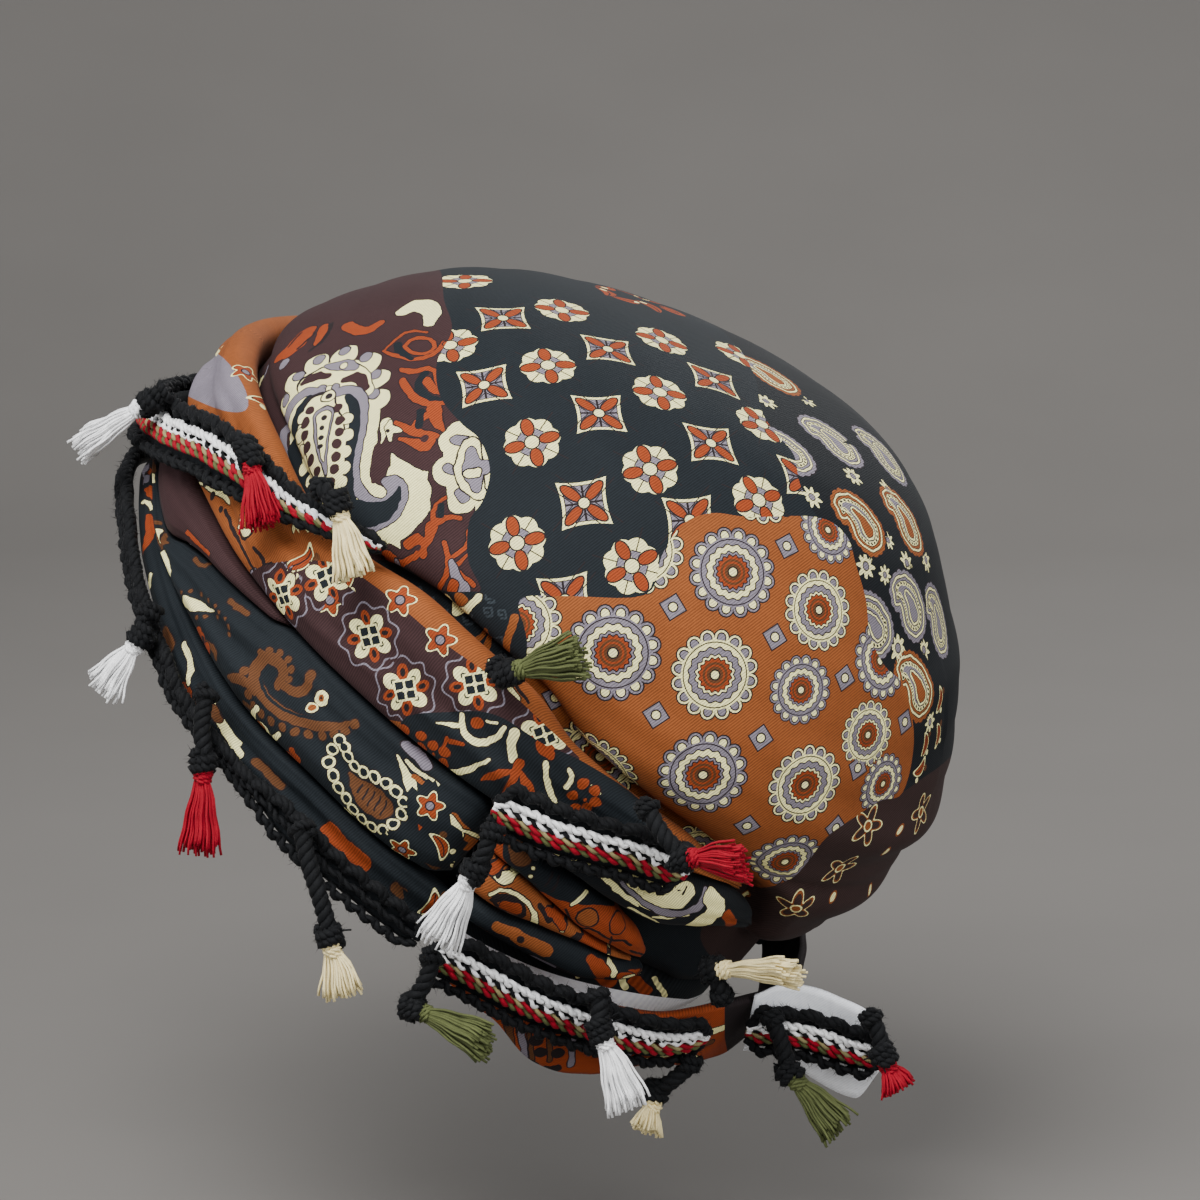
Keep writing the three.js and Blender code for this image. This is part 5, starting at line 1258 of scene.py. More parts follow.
CROWN_STAMPS = [
    *[("medallion_lavender", x, y, 0, size) for x, y, size in (
        (613, 653, 0.98), (733, 572, 0.93), (703, 775, 0.93), (801, 690, 0.72), (785, 862, 0.8),
        (883, 784, 0.66),
        (828, 530, 0.72), (880, 661, 0.8))],
    *[("medallion_cream", x, y, 0, size) for x, y, size in (
        (715, 675, 0.92), (819, 610, 0.84), (600, 757, 0.98), (805, 785, 0.86), (868, 735, 0.72),
        (518, 624, 0.9),
        (640, 550, 0.9), (758, 484, 0.9), (694, 856, 0.86))],
    *[("lozenge", x, y, turn, 1) for x, y, turn in (
        (673, 607, 32), (787, 546, 32), (775, 637, 32), (656, 715, 32), (761, 738, 32), (845, 678, 30),
        (747, 826, 32), (836, 828, 30), (555, 698, 30), (858, 768, 20), (905, 722, 20), (630, 838, 32))],
    *[("square_star", x, y, turn, 1) for x, y, turn in (
        (503, 318, 8), (608, 349, 8), (484, 385, 8), (599, 413, 8), (714, 380, 10), (711, 443, 12),
        (584, 503, 8),
        (690, 520, 8), (803, 478, 12), (565, 600, 8), (640, 255, 8))],
    *[("rosette", x, y, turn, 1) for x, y, turn in (
        (562, 310, 8), (465, 281, 0), (548, 365, 12), (662, 340, 10), (660, 392, 12), (532, 442, 16),
        (650, 469, 20),
        (517, 543, 14), (632, 566, 30), (759, 500, 30), (762, 424, 40), (450, 345, 10), (740, 355, 20))],
    *[("rust_paisley", x, y, turn, 1) for x, y, turn in (
        (768, 374, 40), (862, 520, 30), (906, 520, 20), (918, 684, 20), (930, 430, 20))],
    *[("lavender_paisley", x, y, turn, 1) for x, y, turn in (
        (784, 447, 40), (834, 440, 35), (911, 604, 15), (872, 622, 25), (884, 455, 25), (938, 620, 10),
        (820, 345, 30))],
    *[("leaf", x, y, turn, 0.8) for x, y,
        turn in ((925, 745, 70), (920, 768, 20), (938, 735, 80), (940, 700, 60))],
    *[("spray", x, y, turn, 1) for x, y, turn in (
        (590, 280, 20), (606, 292, 110), (628, 300, 20), (650, 306, 140), (675, 312, 30), (700, 318, 100),
        (612, 272, 60),
        (655, 284, 20), (688, 298, 70))],
    *[("daisy", x, y, 0, size) for x, y, size in (
        (930, 722, 0.9), (766, 401, 1), (833, 393, 1.1), (853, 476, 1), (866, 566, 1.1), (907, 563, 1),
        (812, 497, 1), (898, 648, 1.2),
        (888, 490, 1), (790, 350, 1), (885, 575, 0.8), (860, 410, 0.9), (806, 400, 0.9), (926, 560, 1),
        (842, 372, 0.8), (890, 410, 1), (902, 440, 0.9), (888, 540, 0.8), (924, 650, 1))],
    *[("sprig", x, y, turn, 1) for x, y, turn in (
        (796, 909, 10), (868, 826, 60), (921, 812, 20), (840, 868, 40), (905, 850, 70))],
    *[("seed", x, y, turn, 1) for x, y, turn in (
        (822, 937, 20), (744, 895, 30), (850, 925, 60), (833, 897, 40), (886, 852, 60), (900, 830, 20),
        (870, 890, 80), (800, 960, 10))],
]

# The wound turns' prints
STAR_PATCH = [
    (250, 592), (262, 566), (330, 562), (380, 590), (440, 640), (496, 680), (545, 725), (580, 760),
    (545, 745),
    (496, 715), (450, 712), (401, 722), (350, 700), (285, 637)]
PLANT_PATCH = [
    (401, 722), (450, 712), (496, 715), (545, 745), (580, 760), (640, 800), (660, 840), (600, 850),
    (480, 815),
    (420, 780)]
LAVENDER_PATCH = [(160, 340), (215, 352), (243, 385), (246, 410), (215, 408), (165, 380)]
LAVENDER_ART = [("cream", [[(205, 392, 3), (222, 398, 3)]]), ("ink", [[(206, 392, 2), (220, 397, 2)]])]
LOWER_STAMPS = [
    *[("bloom", x, y, 0, 1) for x, y in (
        (133, 512), (140, 586), (170, 668), (206, 738), (252, 790), (318, 852), (362, 892), (402, 922))],
    *[("leaf", x, y, turn, 1) for x, y, turn in (
        (137, 545, 60), (150, 628, 100), (187, 702, 40), (228, 764, 130), (284, 822, 30), (340, 874, 120),
        (385, 908, 20), (430, 905, 60), (450, 930, 20))],
]
MIDDLE_STAMPS = [
    *[("bloom", x, y, 0, 0.9) for x, y in ((146, 520), (206, 655), (430, 806), (402, 850), (462, 870))],
    *[("leaf", x, y, turn, 0.9) for x, y, turn in (
        (228, 710, 30), (305, 785, 100), (410, 880, 30), (440, 846, 110), (480, 886, 40), (222, 560, 60))],
]
HUMP_STAMPS = [
    *[("leaf", x, y, turn, 1.1) for x, y, turn in (
        (222, 345, 30), (262, 318, 10), (300, 330, 140), (262, 400, 60), (300, 560, 30), (345, 575, 80))],
    *[("bloom", x, y, 0, 1) for x, y in ((285, 352, ), (246, 372), (330, 600), (400, 600), (440, 640))],
]
UPPER_STAMPS = HUMP_STAMPS + [("star", x, y, turn, 0.92) for x, y, turn in (
    (370, 636, 12), (282, 595, 40), (327, 577, 20), (306, 646, 20), (405, 690, 10), (475, 684, 10),
    (545, 735, 20))]


def ride_and_replace(piece, slot, *nodes):
    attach(piece, "root")
    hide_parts(*nodes)
    return piece


def cloth_pieces():
    crown = print_cloth(
        "crown_cloth", crown_shell(), "navy",
        [("maroon", MAROON_PATCH, MAROON_ART), ("navy", KEY_PATCH, KEY_ART), ("black", BLACK_PATCH, ()),
         ("brown", BROWN_PATCH, ()), ("rust", RUST_PATCH, ())], CROWN_STAMPS)
    ride_and_replace(crown, "crown_twill", "crown")
    upper = print_cloth(
        "wrap_upper_cloth", roll_shell(UPPER_ROWS, 330, 60, UPPER_PLEATS, 21), "rust",
        [("lavender", LAVENDER_PATCH, LAVENDER_ART), ("maroon", STAR_PATCH, ()),
            ("navy", PLANT_PATCH, NAVY_ART)],
        UPPER_STAMPS, RUST_ART, (250, 520))
    middle = print_cloth("wrap_middle_cloth", roll_shell(MIDDLE_ROWS, 300, 52, MIDDLE_PLEATS, 22), "navy",
                         stamps=MIDDLE_STAMPS, art=MIDDLE_ART + MIDDLE_MORE, anchor=(280, 680))
    lower = print_cloth("wrap_lower_cloth", roll_shell(LOWER_ROWS, 280, 40, LOWER_PLEATS, 23), "navy",
                        stamps=LOWER_STAMPS, art=LOWER_ART, anchor=(170, 620))
    fold = print_cloth("front_fold_cloth", roll_shell(FOLD_ROWS, 130, 36, (), 24), "maroon", art=FOLD_ART,
                       anchor=(190, 520))
    band = print_cloth("back_band_cloth", roll_shell(BAND_ROWS, 110, 44, (), 25, 0.3), "black", art=BAND_ART,
                       anchor=(660, 885))
    gathers = [
        print_cloth("gather_upper_cloth", roll_shell(GATHER_UPPER_ROWS, 80, 36, (), 26, 0.4), "brick",
                    art=GATHER_ART, anchor=(600, 910)),
        print_cloth("gather_middle_cloth", roll_shell(GATHER_MIDDLE_ROWS, 80, 36, (), 27, 0.4), "rust",
                    art=GATHER_MIDDLE_ART, anchor=(530, 915)),
        print_cloth("gather_lower_cloth", roll_shell(GATHER_LOWER_ROWS, 80, 36, (), 28, 0.4), "navy",
                    art=GATHER_LOWER_ART, anchor=(560, 960))]
    # The tail's ink zone is painted shadow over the brick print where the tail lies in shade
    tail = print_cloth("tail_cloth", tail_shell(), "brick", [("ink", TAIL_PAINTED_SHADOW, ())], art=TAIL_ART,
                       anchor=(560, 1030))
    lining = print_cloth("lining_cloth", lining_shell(), "lining",
                         [("navy", TURNED_PATCH, TURNED_ART), ("navy", EDGE_OF_LINING, ())],
                         reverse="lining_cotton")
    flap = print_cloth("lining_flap_cloth", flap_shell(), "lining")
    ride_and_replace(upper, "rust_twill", "wrap_upper")
    ride_and_replace(middle, "navy_twill", "wrap_middle")
    ride_and_replace(lower, "navy_twill", "wrap_lower")
    ride_and_replace(fold, "maroon_twill", "front_fold")
    ride_and_replace(band, "cream_twill", "back_band")
    for gather, node in zip(gathers, ("gather_upper", "gather_middle", "gather_lower")):
        ride_and_replace(gather, "navy_twill" if node == "gather_lower" else "rust_twill", node)
    ride_and_replace(tail, "rust_twill", "tail")
    ride_and_replace(lining, "lining_cotton", "lining")
    ride_and_replace(flap, "lining_cotton", "lining_flap")


# Painted shadow: the far stretch of the tail, which lies in deep shade, is printed ink-dark over its brick
# ground
TAIL_PAINTED_SHADOW = [(752, 900), (980, 900), (980, 1120), (752, 1120)]
TURNED_PATCH = [
    (400, 880), (455, 926), (500, 952), (560, 976), (640, 994), (700, 1000), (760, 1000), (800, 900),
    (640, 860),
    (440, 840)]
EDGE_OF_LINING = [(80, 420), (142, 430), (146, 560), (160, 640), (230, 760), (180, 800), (90, 700)]
TURNED_ART = [
    ("brick", [[(596, 968, 2), (612, 980, 2.2)], [(636, 978, 1.6), (650, 990, 1.6)], [(540, 950, 1.8)]]),
    ("cream", [[(566, 958, 0.7), (580, 974, 0.8)], [(620, 966, 0.8), (628, 986, 1)],
        [(656, 976, 0.8), (668, 994, 0.7)]])]
UPPER_PLEATS = [
    (100, 0.5, 175, -0.2, 2.4, 0.3), (85, -0.1, 150, 0.55, 1.8, 0.25), (52, 0.2, 110, -0.5, 2.2, 0.3),
    (120, -0.6, 170, 0.2, 1.8, 0.25), (185, 0.4, 260, -0.3, 2.2, 0.3), (240, 0.5, 320, -0.2, 2.0, 0.3)]
MIDDLE_PLEATS = [
    (76, 0.5, 115, 0.1, 2.0, 0.3), (76, -0.3, 130, -0.1, 1.8, 0.25), (100, 0.7, 150, 0.3, 1.8, 0.3),
    (190, 0.2, 290, -0.3, 2.0, 0.3)]
LOWER_PLEATS = [(80, 0, 150, 0.3, 1.8, 0.3), (60, -0.4, 120, 0.1, 1.4, 0.3), (190, 0.2, 300, -0.1, 1.8, 0.3)]
FOLD_ART = [("brick", [[(187, 528, 0.6), (210, 551, 0.5)]]), ("ink", [[(150, 480, 0.4), (190, 500, 0.4)]])]


# Yarn: node trees that wind plies along paths and grow a nap on them
def new_tree(name, inputs):
    tree = bpy.data.node_groups.new(name, "GeometryNodeTree")
    tree.interface.new_socket(name="Geometry", in_out="OUTPUT", socket_type="NodeSocketGeometry")
    for label, kind in ({"Geometry": "Geometry"} | inputs | {"Material": "Material"}).items():
        tree.interface.new_socket(name=label, in_out="INPUT", socket_type=f"NodeSocket{kind}")
    return tree, add(tree, "NodeGroupInput").outputs


def finish_tree(tree, geometry, material):
    smooth = add(tree, "GeometryNodeSetShadeSmooth", {}, {0: geometry}).outputs[0]
    real = add(tree, "GeometryNodeRealizeInstances", {}, {0: smooth}).outputs[0]
    dyed = add(tree, "GeometryNodeSetMaterial", {}, {"Geometry": real, "Material": material}).outputs[0]
    add(tree, "NodeGroupOutput", {}, {0: dyed})
    return tree


def winding_tree():
    """Plies wound round each path: step, lay, spread and radius in millimetres."""
    tree, given = new_tree("wound_yarn", {
        "Step": "Float", "Plies": "Int", "Lay": "Float", "Spread": "Float", "Radius": "Float",
        "Phase": "Float",
        "Sides": "Int"})
    path = add(tree, "GeometryNodeMeshToCurve", {}, {0: given["Geometry"]}).outputs[0]
    path = add(tree, "GeometryNodeResampleCurve", {"mode": "LENGTH"},
               {"Curve": path, "Length": given["Step"]}).outputs[0]
    plies = add(tree, "GeometryNodeDuplicateElements", {"domain": "SPLINE"},
                {"Geometry": path, "Amount": given["Plies"]})
    names = {
        "length": add(tree, "GeometryNodeSplineParameter").outputs["Length"], "lay": given["Lay"],
        "index": plies.outputs["Duplicate Index"], "plies": given["Plies"], "phase": given["Phase"],
        "turn": math.tau, "spread": given["Spread"],
        "thick": add(tree, "GeometryNodeInputNamedAttribute", {"data_type": "FLOAT"},
            {"Name": "thick"}).outputs[0]}
    names["angle"] = formula(tree, "turn * (length / lay + index / plies + phase)", names)
    normal = add(tree, "GeometryNodeInputNormal").outputs[0]
    tangent = add(tree, "GeometryNodeInputTangent").outputs[0]
    side = add(tree, "ShaderNodeVectorMath", {"operation": "CROSS_PRODUCT"},
        {0: tangent, 1: normal}).outputs[0]
    parts = [add(tree, "ShaderNodeVectorMath", {"operation": "SCALE"}, {
        0: way, "Scale": formula(tree, f"{wave}(angle) * spread * thick", names)}).outputs[0]
        for way, wave in ((normal, "cos"), (side, "sin"))]
    offset = add(tree, "ShaderNodeVectorMath", {}, dict(enumerate(parts))).outputs[0]
    wound = add(tree, "GeometryNodeSetPosition", {},
        {"Geometry": plies.outputs[0], "Offset": offset}).outputs[0]
    wound = add(tree, "GeometryNodeSetCurveRadius", {}, {"Curve": wound, "Radius": names["thick"]}).outputs[0]
    circle = add(tree, "GeometryNodeCurvePrimitiveCircle", {},
                 {"Resolution": given["Sides"], "Radius": given["Radius"]}).outputs[0]
    body = add(tree, "GeometryNodeCurveToMesh", {},
               {"Curve": wound, "Profile Curve": circle, "Fill Caps": True}).outputs[0]
    return finish_tree(tree, body, given["Material"])


def nap_tree():
    """Short hairs that stand off a yarn every way, from a fixed seed."""
    tree, given = new_tree("wool_nap", {"Density": "Float", "Seed": "Int", "Length": "Float",
        "Radius": "Float"})
    spread = add(tree, "GeometryNodeDistributePointsOnFaces", {},
                 {"Mesh": given["Geometry"], "Density": given["Density"], "Seed": given["Seed"]})
    hair = add(tree, "GeometryNodeMeshCone", {}, {
        "Vertices": 3, "Radius Top": 0.01, "Radius Bottom": given["Radius"],
        "Depth": given["Length"]}).outputs[0]
    tilt = add(tree, "FunctionNodeRandomValue", {"data_type": "FLOAT_VECTOR"}, {
        0: (-1.1, -1.1, 0), 1: (1.1, 1.1, 6.3), "Seed": given["Seed"]}).outputs[0]
    turned = add(tree, "FunctionNodeRotateRotation", {"rotation_space": "LOCAL"}, {
        0: spread.outputs["Rotation"], 1: tilt}).outputs[0]
    size = add(tree, "FunctionNodeRandomValue", {"data_type": "FLOAT"},
        {2: 0.4, 3: 1.0, "Seed": given["Seed"]})
    hairs = add(tree, "GeometryNodeInstanceOnPoints", {}, {
        "Points": spread.outputs["Points"], "Instance": hair, "Rotation": turned,
        "Scale": size.outputs[1]}).outputs[0]
    return finish_tree(tree, hairs, given["Material"])


def grown(tree, values, points, edges=(), faces=(), thick=None):
    """What a node tree makes of some points, as plain points and triangles."""
    mesh = bpy.data.meshes.new("start")
    mesh.from_pydata(np.asarray(points).tolist(), np.asarray(edges).tolist(), np.asarray(faces).tolist())
    if thick is not None:
        mesh.attributes.new("thick", "FLOAT", "POINT").data.foreach_set("value", thick)
    holder = bpy.data.objects.new("start", mesh)
    bpy.context.scene.collection.objects.link(holder)
    modifier = holder.modifiers.new("grown", "NODES")
    modifier.node_group = tree
    for item in tree.interface.items_tree:
        if item.in_out == "INPUT" and item.name in values:
            modifier[item.identifier] = values[item.name]
    made = bpy.data.meshes.new_from_object(holder.evaluated_get(bpy.context.evaluated_depsgraph_get()))
    holder.modifiers.remove(modifier)
    made.calc_loop_triangles()
    places = np.empty(len(made.vertices) * 3)
    made.vertices.foreach_get("co", places)
    corners = np.empty(len(made.loop_triangles) * 3, np.int32)
    made.loop_triangles.foreach_get("vertices", corners)
    bpy.data.objects.remove(holder)
    bpy.data.meshes.remove(made)
    bpy.data.meshes.remove(mesh)
    return places.reshape(-1, 3), corners.reshape(-1, 3)


def yarn_material(name, shade):
    """Spun wool or cotton yarn: matt and soft, with fibres that catch the light unevenly."""
    material = bpy.data.materials.new(name)
    material.use_nodes = True
    tree = material.node_tree
    tree.nodes.clear()
    place = add(tree, "ShaderNodeTexCoord").outputs["Object"]
    fibre = add(tree, "ShaderNodeTexNoise", {}, {"Vector": place, "Scale": 2600, "Detail": 3}).outputs[0]
    blotch = add(tree, "ShaderNodeTexNoise", {}, {"Vector": place, "Scale": 260, "Detail": 2}).outputs[0]
    light = formula(tree, "0.62 + f * 0.5 + (b - 0.5) * 0.7 + 0.12", {"f": fibre, "b": blotch})
    lit = add(tree, "ShaderNodeVectorMath", {"operation": "SCALE"},
        {0: dye(shade)[:3], "Scale": light}).outputs[0]
    bump = add(tree, "ShaderNodeBump", {}, {"Strength": 0.5, "Distance": 0.0003, "Height": fibre}).outputs[0]
    add(tree, "ShaderNodeOutputMaterial", {}, {0: add(tree, "ShaderNodeBsdfPrincipled", {}, {
        "Base Color": lit, "Roughness": 0.75, "Sheen Weight": 0.03, "Sheen Roughness": 0.4,
        "Specular IOR Level": 0.15, "Normal": bump}).outputs[0]})
    return material


YARNS = {"black": "yarn", "white": "white", "red": "red", "cream": "wool", "olive": "olive", "beige": "beige",
         "backing": "black"}
CORD = {"Plies": 3, "Lay": 7.5, "Spread": 1.2, "Radius": 1.28, "Phase": 0.0, "Sides": 7, "Step": 0.8}
LOBE = {"Plies": 3, "Lay": 6, "Spread": 0.85, "Radius": 1.0, "Phase": 0.0, "Sides": 6, "Step": 0.8}
CHAIN = {"Plies": 2, "Lay": 5.4, "Spread": 0.62, "Radius": 0.66, "Phase": 0.0, "Sides": 6, "Step": 0.7}
SINGLE = {"Plies": 1, "Lay": 4.6, "Spread": 0.6, "Radius": 0.62, "Phase": 0.0, "Sides": 5, "Step": 0.7}
THREAD = {"Plies": 1, "Lay": 9, "Spread": 0.15, "Radius": 0.38, "Phase": 0.0, "Sides": 4, "Step": 2.0}
WRAP = {"Plies": 2, "Lay": 3, "Spread": 0.42, "Radius": 0.5, "Phase": 0.0, "Sides": 5, "Step": 0.7}
HAIRS = {"Density": 0.42, "Seed": 3, "Length": 2.2, "Radius": 0.075}


class Yarnwork:
    """The strands of one piece, gathered dye by dye and joined in one mesh."""

    def __init__(self, name):
        self.name, self.parts = name, []

    def wind(self, colour, settings, paths, taper=0.0, nap=False):
        joined = np.concatenate(paths)
        starts = np.cumsum([0] + [len(path) for path in paths])
        edges = np.concatenate([np.stack([np.arange(a, b - 1), np.arange(a + 1, b)], 1)
                                for a, b in zip(starts, starts[1:])])
        ends = [1 - taper * abs(np.linspace(-1, 1, len(path))) ** 8 for path in paths]
        values = settings | {"Material": YARN_LOOKS[colour]}
        points, faces = grown(WINDING, values, joined, edges, thick=np.concatenate(ends))
        self.parts.append((points, faces, colour))
        if nap:
            hairs = HAIRS | {"Material": YARN_LOOKS[colour], "Seed": len(self.parts)}
            self.parts.append((*grown(NAP, hairs, points, faces=faces), colour))

    def piece(self, *nodes):
        colours = sorted({colour for _, _, colour in self.parts})
        shift = np.cumsum([0] + [len(points) for points, _, _ in self.parts])
        points = np.concatenate([points for points, _, _ in self.parts])
        faces = np.concatenate([faces + start for (_, faces, _), start in zip(self.parts, shift)])
        used = np.concatenate([np.full(len(faces), colours.index(colour)) for _, faces, colour in self.parts])
        looks = [YARN_LOOKS[colour] for colour in colours]
        return mesh_piece(self.name, to_world(points), faces, looks, used)


def even_line(line, normals, width, step=0.6):
    """A line resampled evenly: its places, distances, way across, way off the cloth, and width."""
    run = np.concatenate([[0], np.cumsum(np.linalg.norm(np.diff(line, axis=0), axis=1))])
    s = np.linspace(0, run[-1], max(int(run[-1] / step), 8))
    place = np.stack([np.interp(s, run, line[:, k]) for k in range(3)], 1)
    normal = unit(np.stack([np.interp(s, run, normals[:, k]) for k in range(3)], 1))
    across = unit(np.cross(normal, np.gradient(place, axis=0)))
    place = place + across * np.sign(across[:, 2:]) * (0.7 * uneven(ripples(4, 0.12, 0.5, 31), s))[:, None]
    return place, s, across * np.sign(across[:, 2:]), normal, np.interp(s, run, width + 0 * run)


def trim_line(rows, width):
    at = np.linspace(rows["at"][0], rows["at"][-1], 300)
    up, out = (between(rows, "at", at, name) for name in ("up", "out"))
    return even_line(on_head(at, up, out), outward(at), np.interp(at, *width))


def trim_piece(name, spine, node, plain=False):
    """A crocheted trim: a dark ground, scalloped black edges and twisted rows of coloured yarn between."""
    place, s, across, normal, width = spine
    work = Yarnwork(name)
    fade = np.clip(np.minimum(s, s[-1] - s) / 3, 0.4, 1)

    def row(side, rise):
        side, rise = np.broadcast_arrays(np.asarray(side, float), rise)
        return [place + across * (side * fade)[:, None] + normal * (rise + 0 * s)[:, None]]

    half = width / 2
    section = np.array([(-1, 0.1), (-0.9, 1.2), (-0.5, 2.0), (0.5, 2.0), (0.9, 1.2), (1, 0.1)])
    rings = place[:, None] + across[:, None] * (section[:, :1] * ((half - 0.6) * fade)[:, None, None]) + \
        normal[:, None] * section[None, :, 1:]
    work.parts.append((*closed_shell(rings), "backing"))
    lobe = abs(np.sin(s * math.pi / 6.6)) ** 0.8
    small = abs(np.sin(s * math.pi / 4.6 + 1)) ** 0.8
    work.wind("black", LOBE, row(half - (2.0 - 2.5 * lobe) * np.minimum(1, width / 9), 1.9 + 1.3 * lobe), 0.5,
              nap=True)
    work.wind("black", LOBE | {"Plies": 2, "Radius": 0.85, "Spread": 0.7},
              row(-half + (1.3 - 1.5 * small) * np.minimum(1, width / 9), 1.9 + 0.9 * small), 0.5, nap=True)
    if plain:
        work.wind("black", CHAIN, row(0.2 + 0.4 * np.sin(s), 2.9), 0.5, nap=True)
        return finish_trim(work, node)
    sway = 0.35 * np.sin(s * math.tau / 3.2)
    work.wind("white", CHAIN, row(0.20 * width + sway, 3.3), 0.6)
    work.wind("black", SINGLE | {"Phase": 0.5}, row(0.06 * width, 3.1), 0.6)
    work.wind("white", SINGLE, row(0.055 * width + sway * 0.6, 3.3), 0.6)
    work.wind("red", SINGLE | {"Lay": 6.2, "Radius": 0.72}, row(-0.06 * width, 3.2), 0.6)
    work.wind("beige", SINGLE | {"Lay": 6.2, "Phase": 0.5}, row(-0.06 * width, 3.2), 0.6)
    work.wind("red", SINGLE | {"Lay": 5.2, "Phase": 0.3, "Radius": 0.75}, row(-0.18 * width, 3.0), 0.6)
    work.wind("olive", SINGLE | {"Lay": 5.2, "Phase": 0.8}, row(-0.18 * width, 3.0), 0.6)
    return finish_trim(work, node)


TRIM_WIDTHS = {
    "braid_lower": ((60, 92, 100, 300), (9, 9, 3.6, 3.6)),
    "braid_front": ((105, 112, 119, 127, 134, 240), (4, 5, 8, 12.5, 14, 14)),
}


def finish_trim(work, node):
    return ride_and_replace(work.piece(), "crochet_trim", node)


WORLD_DOWN = np.array([0, math.sin(RIM_TILT), -math.cos(RIM_TILT)])
WORLD_BACK = np.array([0, math.cos(RIM_TILT), math.sin(RIM_TILT)])
KNOT_RADIUS = 4.2
SIDE_LEAN = 0.3
FRINGE_STRANDS = 96
GOLDEN_TURN = 2.399963
TASSEL_SLOTS = {"white": "white_fringe", "red": "red_fringe", "cream": "cream_fringe",
    "olive": "olive_fringe"}


def heading(at, slant, lift):
    """A direction by its slant from straight down towards the back and its lift off the cloth."""
    normal = unit(outward(at) * (1 - SIDE_LEAN) + np.array([math.copysign(1, math.sin(math.radians(at))), 0,
        0])
                  * SIDE_LEAN)
    slant, lift = math.radians(slant), math.radians(lift)
    along = WORLD_DOWN * math.cos(slant) + WORLD_BACK * math.sin(slant)
    return along * math.cos(lift) + normal * math.sin(lift)


def coil(centre, axis, radius, turns, pitch, start=0.0):
    """A few turns of yarn wound round an axis."""
    side = unit(np.cross(axis, (0.3, 0.5, 0.81)))
    other = np.cross(axis, side)
    k = np.linspace(0, turns * math.tau, int(turns * 16) + 2)[:, None] + start
    rise = axis * pitch * ((k - start) / math.tau - turns / 2)
    return centre + radius * (np.cos(k) * side + np.sin(k) * other) + rise


def tassel_pieces(number, row):
    label = f"tassel_{number:02d}"
    root = on_head(row["at"], row["up"], row["out"])
    fall = heading(row["at"], row["slant"], row["splay"])
    swing = heading(row["at"], row["swing"], row["lift"])
    out = outward(row["at"])
    knot = root + fall * row["cord"]
    neck = knot + swing * (KNOT_RADIUS - 0.6)
    bend = min(1.0, row["cord"] * 0.12)
    share = np.linspace(0, 1, 24)[:, None]
    way = root - fall * 1.5 + (knot - root + fall * 1.5) * share + out * bend * np.sin(share * math.pi)
    way = way + np.cross(fall, out) * 0.5 * np.sin(share * 5 + number) * min(1, row["cord"] / 8)
    cord = Yarnwork(f"{label}_yarn")
    cord.wind("black", CORD, [way], 0.3, nap=True)
    cord.wind("black", WRAP | {"Radius": 0.95, "Spread": 0.8}, [coil(knot, swing, 2.5, 2.6, 1.9, number)],
        nap=True)
    cord.wind("black", WRAP | {"Radius": 0.8, "Spread": 0.7}, [
        coil(root, unit(fall + out * 0.5), 2.3, 1.5, 2.0, number * 2.0)], nap=True)
    cord.wind(row["dye"], WRAP, [coil(knot + swing * 2.6, swing, 2.1, 2.0, 1.2, number)])
    loose = [knot + swing * RNG.uniform(-2, 2) + np.stack([
        RNG.uniform(-4, 4) * share[:, 0] * side + RNG.uniform(-1, 1) * share[:, 0] ** 2
        for side in (1, 1, 1)], 1) for _ in range(5)]
    cord.wind("black", THREAD | {"Radius": 0.28, "Step": 0.8}, loose)
    ride_and_replace(cord.piece(), "black_cord", f"{label}_cord")
    side, flat = unit(np.cross(swing, out)), unit(np.cross(np.cross(swing, out), swing))
    strands = []
    t = np.linspace(0, 1, 12)[:, None]
    for k in range(FRINGE_STRANDS):
        turn = k * GOLDEN_TURN
        reach = math.sqrt((k + 0.5) / FRINGE_STRANDS)
        spot = side * math.cos(turn) + flat * math.sin(turn) * 0.62
        length = row["fringe"] * RNG.uniform(0.84, 1.06)
        flare = 1.5 + 5.0 * t ** 0.8 * RNG.uniform(0.7, 1.15)
        wave = (side * RNG.uniform(-0.8, 0.8) * np.sin(t * 4 + turn)
                + flat * RNG.uniform(-0.6, 0.6) * np.sin(t * 5))
        droop = WORLD_DOWN * 1.2 * t ** 2
        strands.append(neck + swing * length * t + spot * reach * flare + wave * t + droop)
    fringe = Yarnwork(f"{label}_fringe")
    fringe.wind(row["dye"], THREAD, strands)
    fringe.wind(row["dye"], WRAP | {"Radius": 0.45}, [coil(neck + swing * 0.6, swing, 1.9, 2.0, 0.9)])
    ride_and_replace(fringe.piece(), TASSEL_SLOTS[row["dye"]], f"{label}_skirt")


def free_line():
    places = free_places(np.linspace(0, 1, 120))
    line = np.stack([places["x"], places["y"], places["up"]], -1)
    return even_line(line, unit(FREE_NORMAL) + 0 * line, FREE_TRIM_WIDTH)


YARN_LOOKS = {name: yarn_material(f"{name}_yarn", shade) for name, shade in YARNS.items()}
WINDING = winding_tree()
NAP = nap_tree()


def yarn_pieces():
    for node, (width, rows) in TRIMS.items():
        plain = node == "braid_lower"
        widths = TRIM_WIDTHS.get(node, ((0, 360), (width, width)))
        trim_piece(f"{node}_crochet", trim_line(rows, widths), node, plain)
    trim_piece("braid_back_crochet", free_line(), "braid_back")
    for number, row in enumerate(TASSELS, 1):
        tassel_pieces(number, row)


# A pale floor that sweeps up behind, soft studio light and the photograph's camera
FLOOR_DROP = 128
SWEEP = 900
# Matt paper, a warm grey with a faint cloudiness, in linear light
PAPER_DARK = (0.135, 0.127, 0.117, 1)
PAPER_PALE = (0.15, 0.141, 0.13, 1)


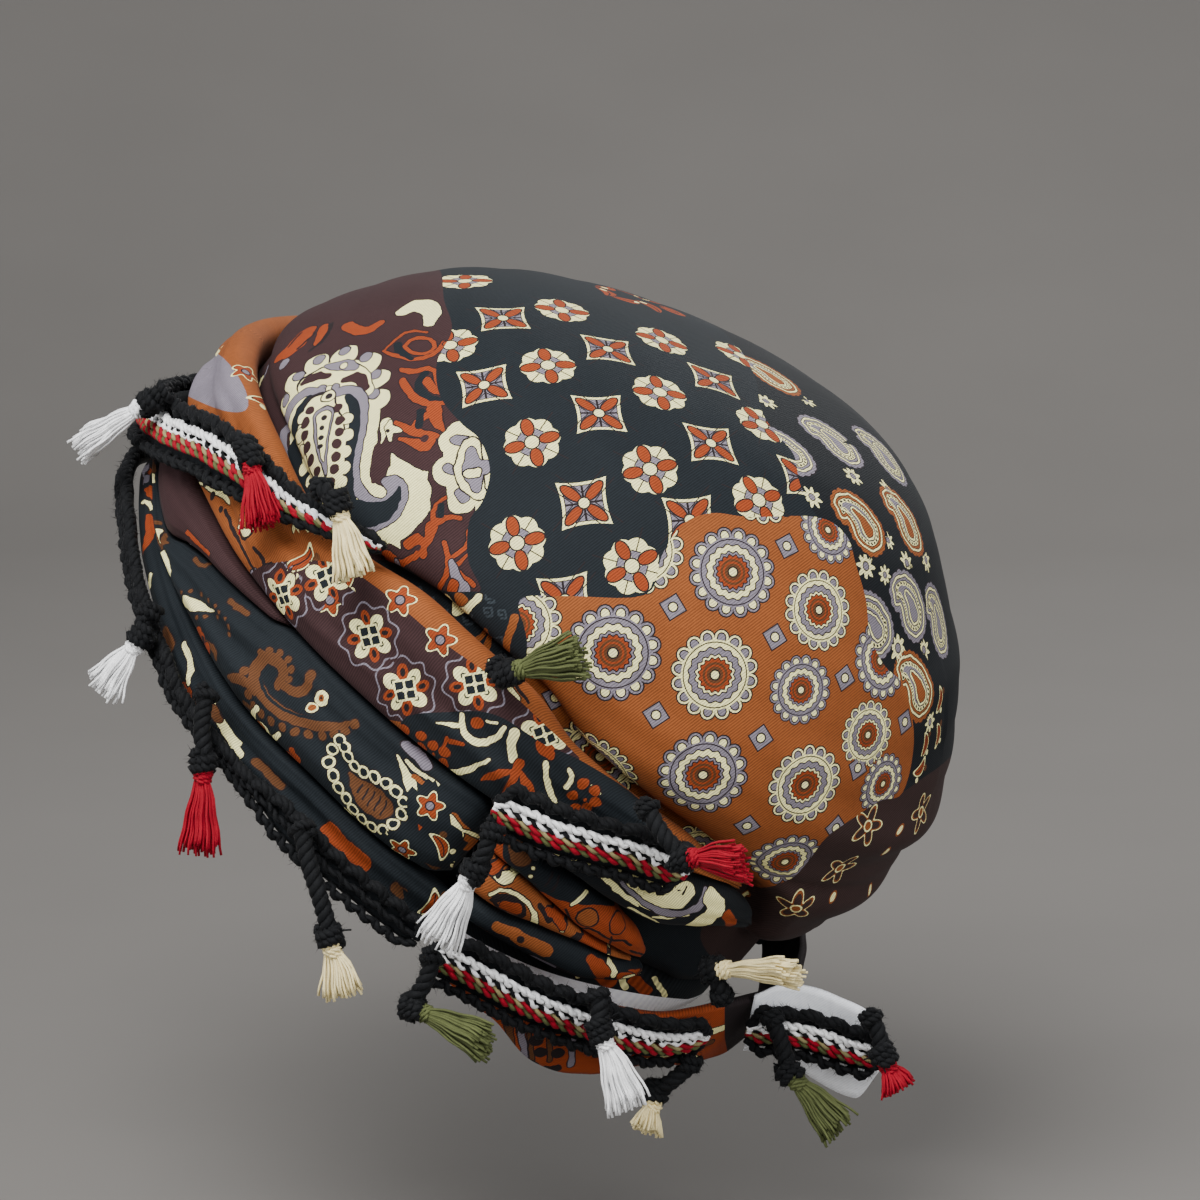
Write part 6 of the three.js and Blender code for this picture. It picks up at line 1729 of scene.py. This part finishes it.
def stage():
    across = np.linspace(-2600, 2600, 3)
    turns = np.linspace(0, math.pi / 2, 24)
    line = [(-2600, 0)] + [(SWEEP + 500 * math.sin(k), 500 - 500 * math.cos(k)) for k in turns]
    line += [(SWEEP + 500, 3000)]
    away = -unit(TOWARDS * (1, 1, 0))
    points = [away * run + RIGHT * side + (0, 0, rise - FLOOR_DROP) for run, rise in line for side in across]
    faces = grid_faces(len(line), 3, closed_round=False)
    wall = bpy.data.materials.new("pale_paper")
    wall.use_nodes = True
    wall.node_tree.nodes.clear()
    tree = wall.node_tree
    grain = add(tree, "ShaderNodeTexNoise", {}, {"Scale": 60, "Detail": 2}).outputs[0]
    tone = add(tree, "ShaderNodeMix", {"data_type": "RGBA"}, {0: grain, 6: PAPER_DARK, 7: PAPER_PALE})
    add(tree, "ShaderNodeOutputMaterial", {}, {0: add(tree, "ShaderNodeBsdfPrincipled", {}, {
        "Base Color": tone.outputs[2], "Roughness": 0.9}).outputs[0]})
    paper = mesh_piece("backdrop", np.array(points), faces, [wall])


def light(name, place, size, power, colour=(1, 1, 1)):
    lamp = bpy.data.lights.new(name, "AREA")
    lamp.shape, lamp.size, lamp.energy, lamp.color = "DISK", size, power, colour
    holder = bpy.data.objects.new(name, lamp)
    bpy.context.scene.collection.objects.link(holder)
    holder.location = Vector(place) * MM
    holder.rotation_euler = (Vector((0, 20, 30)) - Vector(place)).to_track_quat("-Z", "Y").to_euler()


def lights_and_camera():
    light("key", TOWARDS * 900 - RIGHT * 250 + ABOVE * 900, 0.8, 27)
    light("fill", TOWARDS * 900 + RIGHT * 900 + ABOVE * 150, 1.1, 9)
    light("front", TOWARDS * 600 - RIGHT * 1000 - ABOVE * 100, 1.0, 9)
    light("back", -TOWARDS * 700 + RIGHT * 500 + ABOVE * 900, 0.9, 8)
    world = bpy.data.worlds.new("soft_room")
    world.use_nodes = True
    world.node_tree.nodes["Background"].inputs[0].default_value = (0.9, 0.93, 1, 1)
    world.node_tree.nodes["Background"].inputs[1].default_value = 0.42
    bpy.context.scene.world = world
    lens = bpy.data.cameras.new("camera")
    lens.sensor_width = SENSOR
    lens.lens = SENSOR * CAMERA_DISTANCE * PHOTO_SCALE / PHOTO_SIZE
    lens.clip_end = 50
    camera = bpy.data.objects.new("camera", lens)
    camera.matrix_world = Matrix([
        [*row, place * MM] for row, place in zip(np.stack([RIGHT, ABOVE, TOWARDS], 1), EYE)] + [[0, 0, 0, 1]])
    bpy.context.scene.collection.objects.link(camera)
    bpy.context.scene.camera = camera


lights_and_camera()
stage()
cloth_pieces()
yarn_pieces()
